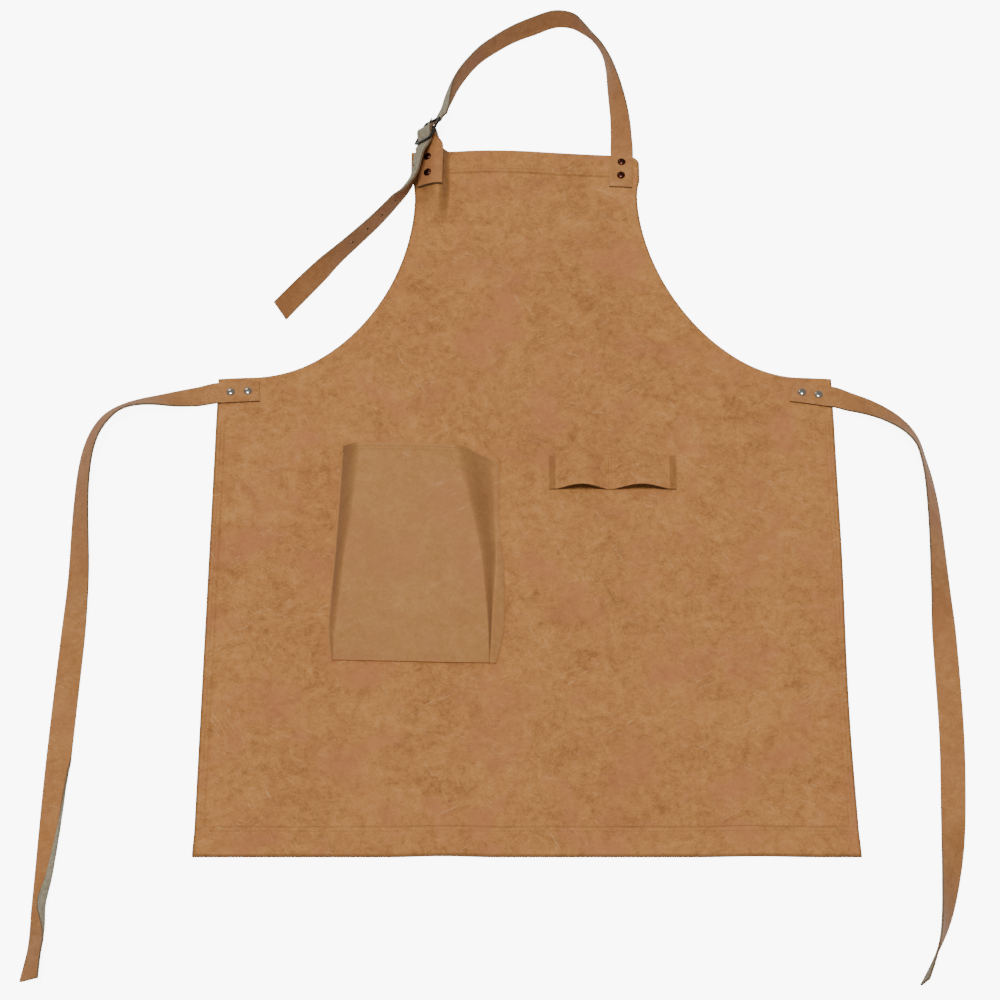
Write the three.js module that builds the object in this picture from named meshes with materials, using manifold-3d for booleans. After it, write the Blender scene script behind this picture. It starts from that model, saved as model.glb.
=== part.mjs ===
// A bib apron of tan nubuck-look leather, lying flat on its back with its straps spread out.
// Millimetres, +Z up. The floor is z = 0, the bib points to +Y, and the wearer's front side faces up.
// Places on the apron are given from its centre line (x) and from the hem's lower edge (y).
import * as THREE from "three";
import { mergeVertices } from "three/addons/utils/BufferGeometryUtils.js";
import Module from "manifold-3d";

const wasm = await Module();
wasm.setup();

// Clearances between pieces that touch on the real apron
const LAY_GAP = 0.4; // a piece laid on the leather
const FIT_GAP = 0.35; // a piece that passes through another

// The apron's one sheet of leather
const sheet = {
  thickness: 1.7,
  skirtWidth: 650,
  waistHeight: 548, // where the straight sides end
  bibHeight: 846.5, // top edge on the centre line
  shoulder: 33, // flat land at each waist corner, where a strap is riveted
  shoulderRise: 1.5,
  armholeTop: 784,
  bottomHem: 30,
  bottomHemFlare: 1,
  sideHem: 8,
  sideHemTop: 500, // the side hems end below the waist straps
  topHem: 27,
  hemRamp: 3,
  seatRamp: 12, // a piece that crosses a hem climbs on to it over this length
};

// The sheet's two sides. half is the bib's half width at its narrowest, above the armhole, flare how
// much further out its top reaches, round the exponent of the armhole's superellipse, and inset how
// far the skirt's edge is drawn in, at insetAt above the hem.
const sides = {
  left: { sign: -1, half: 120, flare: 4.5, round: 1.92, inset: 0, insetAt: 160, insetReach: 200 },
  right: { sign: 1, half: 124.5, flare: 3, round: 1.79, inset: 2.6, insetAt: 160, insetReach: 200 },
};

// How far the bib's top edge lies below its height, from the left corner to the right one
const bibTopDrop = [
  { at: 0, drop: 2.5 },
  { at: 0.17, drop: 1 },
  { at: 0.3, drop: -1 },
  { at: 0.5, drop: 0 },
  { at: 0.84, drop: 7.2 },
  { at: 0.95, drop: 8.8 },
  { at: 1, drop: 12 },
];

// Soft swells of the sheet: centre as shares of half the skirt's width and of the bib's height,
// reach along and across its heading in degrees, and height of the crown
const swells = [
  { name: "left of the pocket", x: -0.8, y: 0.42, heading: 80, along: 130, across: 45, height: 3.5 },
  { name: "below the pocket", x: -0.62, y: 0.15, heading: 35, along: 160, across: 55, height: 4 },
  { name: "right of the pocket", x: 0.03, y: 0.33, heading: 62, along: 150, across: 60, height: 3 },
  { name: "right side of the skirt", x: 0.8, y: 0.36, heading: 95, along: 170, across: 48, height: 3.5 },
  { name: "middle of the bib", x: 0.1, y: 0.8, heading: 160, along: 110, across: 60, height: 3.5 },
  { name: "bottom hem, left of the middle", x: -0.25, y: 0.02, heading: 85, along: 110, across: 55, height: 3 },
  { name: "bottom hem, right", x: 0.68, y: 0.03, heading: 100, along: 120, across: 60, height: 2.5 },
];

// The ridge that the buckle tab pulls up at the bib's left corner
const ridge = {
  height: 10.5,
  fromEdge: 31, // from the bib's left edge to its crest
  reachLeft: 29,
  reachRight: 12,
  full: 44, // from the bib's top edge down to where it starts to fade
  fade: 60, // from there down to where it is gone
};

// Straps
const strap = {
  width: 25,
  thickness: 2.2,
  bend: 7, // width that the leather needs to turn over
  panels: 6, // flat panels across the width
  spacing: 24, // longest panel along a strap
  settle: 26, // past the sheet's edge, a strap comes down to the floor over this length
  tailSettle: 7, // and the tail, which crosses the bib's corner on its edge
  tailHop: 3.5, // how much higher the tail crosses the buckle tab
};

// Rivets: a domed cap, a post through all layers and a flat cap at the back
const rivet = {
  capRadius: 4.4,
  capHeight: 1.9,
  postRadius: 1.5,
  backRadius: 3.6,
  backGap: 0.9,
  backThickness: 0.9,
  sides: 10,
};
const pad = { reach: 90, height: 2.6 }; // the sheet rests on the rivets' back caps here

// The riveted ends of the straps: middle of the square end, middle at the sheet's edge, and the
// rivets' places from the square end
const tabs = {
  left: { endX: -280.5, endBelowWaist: 16.5, edgeBelowWaist: 19.2, rivets: [12.4, 30.5] },
  right: { endX: 282, endBelowWaist: 16.8, edgeBelowWaist: 24, rivets: [11.1, 28.5] },
  neck: { endX: 106.2, edgeX: 108.5, length: 42, rivets: [13.9, 31.6] },
  buckle: { endX: -103.4, edgeX: -102.8, length: 49, rivets: [14.6, 35] },
};

// Waist straps: length from the sheet's edge to the square end, and the route by shares of that length.
// heading is the way it runs in plan, roll leans the leather on to its edge, turned is the share of
// the width that is turned over, and turn is the angle of that fold. side is 1 where the edge on the
// right of the heading is the raised one and -1 where it is the other.
const waistStraps = {
  left: {
    length: 752,
    side: -1,
    route: [
      { at: 0, heading: 187, roll: 2, turned: 0, turn: 150 },
      { at: 0.025, heading: 190, roll: 8, turned: 0, turn: 150 },
      { at: 0.055, heading: 191, roll: 20, turned: 0, turn: 150 },
      { at: 0.09, heading: 188, roll: 40, turned: 0, turn: 150 },
      { at: 0.13, heading: 203, roll: 51, turned: 0, turn: 150 },
      { at: 0.165, heading: 234, roll: 50, turned: 0, turn: 150 },
      { at: 0.205, heading: 255, roll: 54, turned: 0, turn: 150 },
      { at: 0.245, heading: 265.5, roll: 54, turned: 0, turn: 150 },
      { at: 0.3, heading: 270.5, roll: 50, turned: 0, turn: 150 },
      { at: 0.377, heading: 272.5, roll: 37, turned: 0, turn: 150 },
      { at: 0.452, heading: 268.8, roll: 22, turned: 0, turn: 150 },
      { at: 0.52, heading: 267.8, roll: 6, turned: 0, turn: 150 },
      { at: 0.66, heading: 268.2, roll: 2, turned: 0, turn: 165 },
      { at: 0.71, heading: 268.6, roll: 5, turned: 0.13, turn: 165 },
      { at: 0.785, heading: 269.2, roll: 7, turned: 0.21, turn: 165 },
      { at: 0.856, heading: 268.8, roll: 14, turned: 0.31, turn: 150 },
      { at: 0.9, heading: 267, roll: 24, turned: 0.4, turn: 120 },
      { at: 0.935, heading: 264, roll: 44, turned: 0.2, turn: 90 },
      { at: 0.96, heading: 263, roll: 51, turned: 0.03, turn: 80 },
      { at: 1, heading: 264, roll: 41, turned: 0, turn: 80 },
    ],
  },
  right: {
    length: 712,
    side: 1,
    route: [
      { at: 0, heading: -14, roll: 3, turned: 0, turn: 0 },
      { at: 0.025, heading: -19, roll: 11, turned: 0, turn: 0 },
      { at: 0.065, heading: -28.5, roll: 25, turned: 0, turn: 0 },
      { at: 0.109, heading: -45, roll: 41, turned: 0, turn: 0 },
      { at: 0.137, heading: -61, roll: 54, turned: 0, turn: 0 },
      { at: 0.165, heading: -75, roll: 67, turned: 0, turn: 0 },
      { at: 0.205, heading: -82.2, roll: 65, turned: 0, turn: 0 },
      { at: 0.25, heading: -87, roll: 58, turned: 0, turn: 0 },
      { at: 0.33, heading: -89.7, roll: 47, turned: 0, turn: 0 },
      { at: 0.41, heading: -89.4, roll: 31, turned: 0, turn: 0 },
      { at: 0.455, heading: -89.5, roll: 14, turned: 0, turn: 0 },
      { at: 0.525, heading: -89.8, roll: 3, turned: 0, turn: 0 },
      { at: 0.6, heading: -91, roll: 2, turned: 0, turn: 0 },
      { at: 0.68, heading: -93.5, roll: 4, turned: 0, turn: 0 },
      { at: 0.74, heading: -94.5, roll: 12, turned: 0, turn: 0 },
      { at: 0.792, heading: -96.5, roll: 26, turned: 0, turn: 0 },
      { at: 0.831, heading: -98.5, roll: 40, turned: 0, turn: 0 },
      { at: 0.87, heading: -100, roll: 54, turned: 0, turn: 0 },
      { at: 0.908, heading: -104.5, roll: 70, turned: 0, turn: 0 },
      { at: 0.946, heading: -111, roll: 88, turned: 0, turn: 0 },
      { at: 1, heading: -116, roll: 103, turned: 0, turn: 0 },
    ],
  },
};

// The buckle stands leaned on the floor above the bib's left corner: a frame with a middle bar
const buckle = {
  x: -106.6,
  aboveBib: 18, // its middle, from the bib's height
  heading: 247.5, // the way the strap runs through it
  roll: 128, // its lean, the same as that of the strap in it
  lift: 3.3, // the tab holds its low side off the floor
  width: 31, // along its bars
  length: 32, // along the strap
  rail: 2.6,
  bar: 2.6,
  thickness: 2.6,
  bevel: 0.4,
  cornerRadius: 3.5,
};
const prong = { radius: 0.9, ringThickness: 0.8, ringWidth: 2.4, sides: 10 };
const tabStrap = {
  width: 23,
  thickness: 1.5,
  seat: 1.4, // room under it, on the ridge
  pinch: 0.5, // share of its left half that is drawn in where it leaves the bib, beside the strap
  pinchReach: 34,
  layerGap: 0.35,
  panels: 6,
  spacing: 12,
  swing: 40, // how much steeper than straight it leaves the bar, in degrees
  slotWidth: 3.6,
  slotReach: 5,
};

// The neck strap's arch from the bib to the buckle: across is a share of the span from its tab to the
// buckle, up a share of the arch's height above the bib
const ARCH_HEIGHT = 188;
const archRoute = [
  { across: 0, up: 0, roll: 0, turned: 0, turn: 60 },
  { across: 0.001, up: 0.1, roll: 24, turned: 0, turn: 60 },
  { across: 0.003, up: 0.19, roll: 32, turned: 0, turn: 60 },
  { across: 0.01, up: 0.3, roll: 43, turned: 0, turn: 60 },
  { across: 0.024, up: 0.42, roll: 54, turned: 0, turn: 60 },
  { across: 0.042, up: 0.545, roll: 68, turned: 0, turn: 60 },
  { across: 0.06, up: 0.65, roll: 82, turned: 0, turn: 60 },
  { across: 0.092, up: 0.765, roll: 97, turned: 0, turn: 60 },
  { across: 0.143, up: 0.863, roll: 104, turned: 0, turn: 60 },
  { across: 0.187, up: 0.922, roll: 97, turned: 0, turn: 60 },
  { across: 0.237, up: 0.973, roll: 87, turned: 0, turn: 60 },
  { across: 0.3, up: 0.993, roll: 82, turned: 0, turn: 60 },
  { across: 0.36, up: 0.985, roll: 78, turned: 0, turn: 60 },
  { across: 0.442, up: 0.943, roll: 76, turned: 0, turn: 60 },
  { across: 0.563, up: 0.873, roll: 80, turned: 0, turn: 60 },
  { across: 0.695, up: 0.76, roll: 83, turned: 0, turn: 65 },
  { across: 0.772, up: 0.665, roll: 85, turned: 0.02, turn: 70 },
  { across: 0.848, up: 0.53, roll: 82, turned: 0.12, turn: 75 },
  { across: 0.895, up: 0.41, roll: 78, turned: 0.27, turn: 72 },
  { across: 0.928, up: 0.31, roll: 76, turned: 0.5, turn: 60 },
  { across: 0.95, up: 0.235, roll: 74, turned: 0.85, turn: 54 },
];

// The tail, from the middle of the buckle to the neck strap's square end
const tail = {
  length: 287,
  route: [
    { at: 0, heading: 247.5, roll: 74, turned: 1, turn: 54 },
    { at: 0.07, heading: 255, roll: 74, turned: 1, turn: 50 },
    { at: 0.15, heading: 257, roll: 76, turned: 0.85, turn: 46 },
    { at: 0.25, heading: 245.5, roll: 82, turned: 0.55, turn: 48 },
    { at: 0.31, heading: 237.5, roll: 86, turned: 0.3, turn: 50 },
    { at: 0.35, heading: 235.5, roll: 87, turned: 0.13, turn: 50 },
    { at: 0.4, heading: 233, roll: 86, turned: 0.02, turn: 50 },
    { at: 0.46, heading: 230.2, roll: 84, turned: 0, turn: 50 },
    { at: 0.52, heading: 228.4, roll: 83, turned: 0, turn: 50 },
    { at: 0.64, heading: 227.6, roll: 78, turned: 0, turn: 50 },
    { at: 0.7, heading: 228, roll: 72, turned: 0, turn: 50 },
    { at: 0.76, heading: 229.5, roll: 61, turned: 0, turn: 50 },
    { at: 0.87, heading: 230.5, roll: 54, turned: 0, turn: 50 },
    { at: 1, heading: 232, roll: 52, turned: 0, turn: 50 },
  ],
};
const strapHoles = { radius: 1.7, first: 27, pitch: 24, count: 7, sides: 8 };

// The pocket: a row for each height of its front, from the bottom seam to the mouth
const pocket = {
  bottom: 214,
  height: 238, // of its side seams
  mouthLean: 8, // how much higher than its seams the front reaches
  tilt: 4, // how much lower its right seam lies
  cornerRise: 13, // how much higher its left seam ends
  standOff: 16,
  thickness: 1.6,
  hem: 20,
};
const pocketRows = [
  { at: 0, seamLeft: -195.5, frontLeft: -194, frontRight: -38, foot: -36.8, seamRight: -30.5, rise: 0.02 },
  { at: 0.05, seamLeft: -199, frontLeft: -193.5, frontRight: -38.2, foot: -36, seamRight: -27, rise: 0.12 },
  { at: 0.15, seamLeft: -201, frontLeft: -192, frontRight: -38.6, foot: -35, seamRight: -22.8, rise: 0.25 },
  { at: 0.3, seamLeft: -199.5, frontLeft: -188.5, frontRight: -41.5, foot: -33, seamRight: -21.5, rise: 0.42 },
  { at: 0.48, seamLeft: -197, frontLeft: -185, frontRight: -46, foot: -29.8, seamRight: -22.5, rise: 0.62 },
  { at: 0.68, seamLeft: -194.8, frontLeft: -178.5, frontRight: -55, foot: -30.5, seamRight: -27, rise: 0.8 },
  { at: 0.86, seamLeft: -193, frontLeft: -174.5, frontRight: -66, foot: -30.7, seamRight: -27.2, rise: 0.93 },
  { at: 1, seamLeft: -191.5, frontLeft: -172.5, frontRight: -76, foot: -31, seamRight: -27.5, rise: 1 },
];

// The strip of tool loops: sewn down between the loops and at both ends
const loops = {
  left: 25,
  right: 157,
  bottom: 413,
  height: 40,
  endLand: 7,
  middle: 88.3,
  middleLand: 3,
  bulge: 11,
  thickness: 1.6,
};

// Finishes
const leather = new THREE.MeshStandardMaterial({ color: 0xb0845a, roughness: 0.85, metalness: 0 });
const steel = new THREE.MeshStandardMaterial({ color: 0x8f8d88, roughness: 0.3, metalness: 1 });
const darkSteel = new THREE.MeshStandardMaterial({ color: 0x3a3833, roughness: 0.4, metalness: 1 });

// General helpers

const UP = new THREE.Vector3(0, 0, 1);

function vector(x, y, z = 0) {
  return new THREE.Vector3(x, y, z);
}

function smooth(share) {
  const s = THREE.MathUtils.clamp(share, 0, 1);
  return s * s * (3 - 2 * s);
}

// A bell that is 1 at 0 and fades to nothing at -1 and 1
function bell(share) {
  return Math.abs(share) < 1 ? Math.cos((share * Math.PI) / 2) ** 2 : 0;
}

// The value of a table's column at a place along it, on a smooth curve through the rows.
// The place counts in the rows' own shares, or in rows where they have none.
function valueAt(rows, at, column) {
  const last = rows.length - 1;
  const place = (i) => rows[i].at ?? i;
  let i = 0;
  while (i < last - 1 && at > place(i + 1)) i += 1;
  const slope = (k) => {
    const before = Math.max(k - 1, 0);
    const after = Math.min(k + 1, last);
    return (rows[after][column] - rows[before][column]) / (place(after) - place(before));
  };
  const step = place(i + 1) - place(i);
  const t = THREE.MathUtils.clamp((at - place(i)) / step, 0, 1);
  const rest = 1 - t;
  return (
    rows[i][column] * rest * rest * (1 + 2 * t) +
    rows[i + 1][column] * t * t * (3 - 2 * t) +
    step * t * rest * (slope(i) * rest - slope(i + 1) * t)
  );
}

// A closed solid between an upper and a lower grid of points. Seen from above, with
// the rows following each other away from the viewer, a row runs from left to right.
function sheetSolid(upper, lower) {
  const rows = upper.length;
  const columns = upper[0].length;
  const points = [...upper.flat(), ...lower.flat()];
  const index = [];
  const up = (i, j) => i * columns + j;
  const low = (i, j) => (rows + i) * columns + j;
  const quad = (a, b, c, d) => index.push(a, b, c, a, c, d);
  for (let i = 0; i < rows - 1; i += 1) {
    for (let j = 0; j < columns - 1; j += 1) {
      quad(up(i, j), up(i, j + 1), up(i + 1, j + 1), up(i + 1, j));
      quad(low(i, j), low(i + 1, j), low(i + 1, j + 1), low(i, j + 1));
    }
    quad(up(i, 0), up(i + 1, 0), low(i + 1, 0), low(i, 0));
    quad(up(i, columns - 1), low(i, columns - 1), low(i + 1, columns - 1), up(i + 1, columns - 1));
  }
  for (let j = 0; j < columns - 1; j += 1) {
    quad(up(0, j), low(0, j), low(0, j + 1), up(0, j + 1));
    quad(up(rows - 1, j), up(rows - 1, j + 1), low(rows - 1, j + 1), low(rows - 1, j));
  }
  const geometry = new THREE.BufferGeometry().setFromPoints(points);
  geometry.setIndex(index);
  return geometry;
}

function toSolid(geometry) {
  const bare = geometry.clone();
  for (const name of Object.keys(bare.attributes)) if (name !== "position") bare.deleteAttribute(name);
  const merged = mergeVertices(bare, 1e-4);
  return new wasm.Manifold(
    new wasm.Mesh({
      numProp: 3,
      vertProperties: new Float32Array(merged.attributes.position.array),
      triVerts: new Uint32Array(merged.index.array),
    }),
  );
}

function toGeometry(solid) {
  const mesh = solid.getMesh();
  const geometry = new THREE.BufferGeometry();
  geometry.setAttribute("position", new THREE.BufferAttribute(new Float32Array(mesh.vertProperties), 3));
  geometry.setIndex(new THREE.BufferAttribute(new Uint32Array(mesh.triVerts), 1));
  return geometry;
}

function cut(geometry, cutters) {
  return toGeometry(cutters.map(toSolid).reduce((rest, cutter) => rest.subtract(cutter), toSolid(geometry)));
}

function join(geometries) {
  return toGeometry(geometries.map(toSolid).reduce((all, next) => all.add(next)));
}

// A round rod through a point, along an axis
function rod(middle, axis, radius, length, sides) {
  const geometry = new THREE.CylinderGeometry(radius, radius, length, sides);
  const turn = new THREE.Quaternion().setFromUnitVectors(vector(0, 1, 0), axis.clone().normalize());
  return geometry.applyQuaternion(turn).translate(middle.x, middle.y, middle.z);
}

// The apron's sheet

const halfSkirt = sheet.skirtWidth / 2;
const bibLeft = -sides.left.half - sides.left.flare;
const bibRight = sides.right.half + sides.right.flare;

function bibTopAt(x) {
  const share = THREE.MathUtils.clamp((x - bibLeft) / (bibRight - bibLeft), 0, 1);
  return sheet.bibHeight - valueAt(bibTopDrop, share, "drop");
}

// Half the skirt's width on one side, at a height above the hem
function skirtHalfAt(side, y) {
  const flare = sheet.bottomHemFlare * (1 - smooth(y / sheet.bottomHem));
  return halfSkirt + flare - side.inset * bell((y - side.insetAt) / side.insetReach);
}

// The riveted end of a waist strap: middle of the square end, and middle at the sheet's edge
function waistTab(tab, edgeX) {
  const from = vector(tab.endX, sheet.waistHeight - tab.endBelowWaist);
  return { from, to: vector(edgeX, sheet.waistHeight - tab.edgeBelowWaist) };
}

function waistPad(tab, edgeX) {
  const { from, to } = waistTab(tab, edgeX);
  return from.add(to).multiplyScalar(0.5);
}

// Middles of the riveted strap ends, where the sheet rests on the rivets' backs. The buckle tab needs
// none, because its rivets are on the ridge.
const padPlaces = [
  waistPad(tabs.left, -halfSkirt),
  waistPad(tabs.right, halfSkirt),
  vector((tabs.neck.endX + tabs.neck.edgeX) / 2, bibTopAt(tabs.neck.edgeX) - tabs.neck.length / 2),
];

// Height of the sheet's underside above the floor
function undersideAt(x, y) {
  let z = 0;
  for (const swell of swells) {
    const dx = x - swell.x * halfSkirt;
    const dy = y - swell.y * sheet.bibHeight;
    const heading = THREE.MathUtils.degToRad(swell.heading);
    const along = dx * Math.cos(heading) + dy * Math.sin(heading);
    const across = dy * Math.cos(heading) - dx * Math.sin(heading);
    z += swell.height * bell(along / swell.along) * bell(across / swell.across);
  }
  for (const place of padPlaces) z += pad.height * bell(Math.hypot(x - place.x, y - place.y) / pad.reach);
  const below = Math.max(sheet.bibHeight - ridge.full - y, 0) / ridge.fade;
  const beside = x - bibLeft - ridge.fromEdge;
  z += ridge.height * bell(below) * bell(beside / (beside < 0 ? ridge.reachLeft : ridge.reachRight));
  return z;
}

// How many layers of leather there are: two where a hem is folded under
function layersAt(x, y, ramp = sheet.hemRamp) {
  const inTop = (y - bibTopAt(x) + sheet.topHem + ramp) / ramp;
  const inBottom = (sheet.bottomHem + ramp - y) / ramp;
  const half = skirtHalfAt(x < 0 ? sides.left : sides.right, y);
  const inSide = (sheet.sideHem + ramp - half + Math.abs(x)) / ramp;
  const below = (sheet.sideHemTop - y) / ramp;
  return 1 + smooth(Math.max(inTop, inBottom, Math.min(inSide, below)) + 0.001);
}

function topsideAt(x, y, ramp = sheet.hemRamp) {
  return undersideAt(x, y) + sheet.thickness * layersAt(x, y, ramp);
}

// The way the sheet's topside faces
function facingAt(x, y) {
  const step = 3;
  const slopeX = (undersideAt(x + step, y) - undersideAt(x - step, y)) / (2 * step);
  const slopeY = (undersideAt(x, y + step) - undersideAt(x, y - step)) / (2 * step);
  return vector(-slopeX, -slopeY, 1).normalize();
}

// One side's outline, from above the bottom hem to below the bib's top hem
function outline(side) {
  const bottomY = sheet.bottomHem + sheet.hemRamp;
  const topX = side.half + side.flare;
  const topY = bibTopAt(side.sign * topX) - sheet.topHem - sheet.hemRamp;
  const landX = halfSkirt - sheet.shoulder;
  const landY = sheet.waistHeight + sheet.shoulderRise;
  const sideSteps = 17;
  const armholeSteps = 13;
  const points = [];
  for (let k = 0; k <= sideSteps; k += 1) {
    const y = THREE.MathUtils.lerp(bottomY, sheet.waistHeight, k / sideSteps);
    points.push(vector(skirtHalfAt(side, y), y));
  }
  points.push(vector((halfSkirt + landX) / 2, (sheet.waistHeight + landY) / 2));
  for (let k = 0; k <= armholeSteps; k += 1) {
    const angle = ((k / armholeSteps) * Math.PI) / 2;
    const across = 1 - Math.sin(angle) ** (2 / side.round);
    const up = 1 - Math.cos(angle) ** (2 / side.round);
    const x = THREE.MathUtils.lerp(side.half, landX, across);
    points.push(vector(x, THREE.MathUtils.lerp(landY, sheet.armholeTop, up)));
  }
  points.push(vector(side.half + side.flare * 0.6, (sheet.armholeTop + topY) / 2));
  points.push(vector(topX, topY));
  return points;
}

// Places across a row of the sheet, from its left end to its right one. Some keep their distance from
// the end: those at the side hems, and on the left those that shape the ridge.
function rowPlaces(leftHalf, rightHalf) {
  const hem = [0, sheet.sideHem, sheet.sideHem + sheet.hemRamp];
  const crest = ridge.fromEdge;
  const ridgePlaces = [0.62 * crest, crest - 5, crest, crest + ridge.reachRight / 2, crest + ridge.reachRight];
  const fixedLeft = [...hem, ...ridgePlaces];
  const places = fixedLeft.map((distance) => -leftHalf + distance);
  const inner = 9;
  const lastLeft = places[places.length - 1];
  for (let k = 1; k < inner; k += 1) places.push(lastLeft * (1 - k / inner));
  const firstRight = rightHalf - hem[2];
  for (let k = 0; k < inner; k += 1) places.push((firstRight * k) / inner);
  return [...places, ...[...hem].reverse().map((distance) => rightHalf - distance)];
}

function bodySheet() {
  const left = outline(sides.left);
  const right = outline(sides.right);
  const rows = [];
  for (const y of [0, sheet.bottomHem / 2, sheet.bottomHem, sheet.bottomHem + sheet.hemRamp]) {
    rows.push(rowPlaces(skirtHalfAt(sides.left, y), skirtHalfAt(sides.right, y)).map((x) => vector(x, y)));
  }
  const lengths = [0];
  for (let k = 1; k < right.length; k += 1) lengths.push(lengths[k - 1] + right[k].distanceTo(right[k - 1]));
  const topY = bibTopAt(0) - sheet.topHem - sheet.hemRamp;
  for (let k = 1; k < right.length; k += 1) {
    const middleY = THREE.MathUtils.lerp(right[0].y, topY, lengths[k] / lengths[lengths.length - 1]);
    const straight = smooth((k - right.length + 4) / 3);
    rows.push(
      rowPlaces(left[k].x, right[k].x).map((x) => {
        const end = x < 0 ? left[k] : right[k];
        const bowed = middleY + (end.y - middleY) * (x / end.x) ** 2;
        return vector(x, THREE.MathUtils.lerp(bowed, bibTopAt(x) - sheet.topHem - sheet.hemRamp, straight));
      }),
    );
  }
  for (const share of [0, 0.5, 1]) {
    rows.push(rowPlaces(-bibLeft, bibRight).map((x) => vector(x, bibTopAt(x) - sheet.topHem * (1 - share))));
  }
  const upper = rows.map((row) => row.map((p) => vector(p.x, p.y, topsideAt(p.x, p.y))));
  const lower = rows.map((row) => row.map((p) => vector(p.x, p.y, undersideAt(p.x, p.y))));
  return sheetSolid(upper, lower);
}

// Straps

// The surface that a strap lies on: the sheet, and past the sheet's edge down to the floor
function groundAt(x, y, settle = strap.settle) {
  const insideX = THREE.MathUtils.clamp(x, -halfSkirt, halfSkirt);
  const insideY = Math.min(y, bibTopAt(x));
  const past = Math.hypot(x - insideX, y - insideY);
  return (topsideAt(insideX, insideY, sheet.seatRamp) + LAY_GAP) * (1 - smooth(past / settle));
}

// A strap's cross section, from its raised edge to its low edge: places across (n) and up (z) from
// its middle, and the way its finished face looks
function strapSection(station) {
  const count = strap.panels;
  const width = strap.width / count;
  const foldAt = station.turned * (strap.width + strap.bend) - strap.bend / 2;
  const leanAt = (across) => {
    const folded = smooth((foldAt - across) / strap.bend + 0.5);
    return THREE.MathUtils.degToRad(station.roll + station.turn * folded);
  };
  const points = [{ n: 0, z: 0 }];
  for (let k = 0; k < count; k += 1) {
    const lean = leanAt((k + 0.5) * width);
    const last = points[k];
    points.push({ n: last.n + Math.cos(lean) * width, z: last.z - Math.sin(lean) * width });
  }
  const half = Math.floor(count / 2);
  const middle = {
    n: (points[half].n + points[count - half].n) / 2,
    z: (points[half].z + points[count - half].z) / 2,
  };
  return points.map((p, k) => {
    const lean = leanAt(THREE.MathUtils.clamp(k * width, width / 2, strap.width - width / 2));
    return { n: p.n - middle.n, z: p.z - middle.z, faceN: Math.sin(lean), faceZ: Math.cos(lean) };
  });
}

// A strap's cross section at a station: the places of its face and its back. A station has a place
// (x, y), heading, roll, turned and turn, drape where it follows the sheet, bow for how far it bows out
// of its own plane, held for how far it is kept from the ground at the height of level, and hop for
// what lies between it and the ground.
function strapPoints(station, side, outs) {
  const half = strap.thickness / 2;
  const { bow = 0, held = 0, level = 0, hop = 0, drape = 0, settle = strap.settle } = station;
  const heading = THREE.MathUtils.degToRad(station.heading);
  const across = vector(-Math.sin(heading), Math.cos(heading)).multiplyScalar(side);
  const section = strapSection(station);
  const placeOf = (p, out) => vector(station.x, station.y, p.z + p.faceZ * out).addScaledVector(across, p.n + p.faceN * out);
  let rest = -Infinity;
  for (const p of section) {
    for (const out of [bow - half, bow + half]) {
      const place = placeOf(p, out);
      rest = Math.max(rest, groundAt(place.x, place.y, settle) - place.z);
    }
  }
  const raised = rest + hop + held * Math.max(level - rest, 0);
  return outs.map((out) =>
    section.map((p) => {
      const place = placeOf(p, bow + out * half);
      place.z += THREE.MathUtils.lerp(raised, groundAt(place.x, place.y) + half, drape);
      return place;
    }),
  );
}

// A strap through its stations. Its rows of points run to the right of the heading.
function ribbon(stations, side) {
  const rows = stations.map((station) => strapPoints(station, side, [1, -1]));
  if (side > 0) for (const row of rows.flat()) row.reverse();
  return sheetSolid(rows.map((row) => row[0]), rows.map((row) => row[1]));
}

function leanOn(route, at) {
  return {
    roll: valueAt(route, at, "roll"),
    turned: THREE.MathUtils.clamp(valueAt(route, at, "turned"), 0, 1),
    turn: valueAt(route, at, "turn"),
  };
}

// Stations along a route that is given by its headings, from a starting place
function routeStations({ route, length }, start) {
  const stations = [];
  const place = vector(start.x, start.y);
  for (let i = 0; i < route.length - 1; i += 1) {
    const step = route[i + 1].at - route[i].at;
    const parts = Math.ceil((step * length) / strap.spacing);
    for (let k = 0; k < parts; k += 1) {
      const at = route[i].at + (step * k) / parts;
      const ahead = at + step / parts / 2;
      const { x, y } = place;
      stations.push({ ...leanOn(route, at), heading: valueAt(route, at, "heading"), x, y, along: at * length });
      const heading = THREE.MathUtils.degToRad(valueAt(route, ahead, "heading"));
      place.add(vector(Math.cos(heading), Math.sin(heading)).multiplyScalar((step / parts) * length));
    }
  }
  const { x, y } = place;
  stations.push({ ...leanOn(route, 1), heading: valueAt(route, 1, "heading"), x, y, along: length });
  return stations;
}

// The riveted ends: middle of the square end, and middle at the sheet's edge
const ends = {
  left: waistTab(tabs.left, -halfSkirt),
  right: waistTab(tabs.right, halfSkirt),
  neck: {
    from: vector(tabs.neck.endX, bibTopAt(tabs.neck.edgeX) - tabs.neck.length),
    to: vector(tabs.neck.edgeX, bibTopAt(tabs.neck.edgeX)),
  },
  buckle: {
    from: vector(tabs.buckle.endX, bibTopAt(tabs.buckle.edgeX) - tabs.buckle.length),
    to: vector(tabs.buckle.edgeX, bibTopAt(tabs.buckle.edgeX)),
  },
};

// Stations of a flat end that lies on the sheet, without the one at the sheet's edge
function endStations({ from, to }) {
  const direction = to.clone().sub(from);
  const heading = THREE.MathUtils.radToDeg(Math.atan2(direction.y, direction.x));
  return [0, 0.25, 0.5, 0.8].map((share) => {
    const { x, y } = from.clone().lerp(to, share);
    return { x, y, heading, roll: 0, turned: 0, turn: 0, drape: 1 };
  });
}

// Rivets

function rivetPlaces(name) {
  const { from, to } = ends[name];
  const direction = to.clone().sub(from).normalize();
  return tabs[name].rivets.map((distance) => {
    const { x, y } = from.clone().addScaledVector(direction, distance);
    return vector(x, y, undersideAt(x, y));
  });
}

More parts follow.
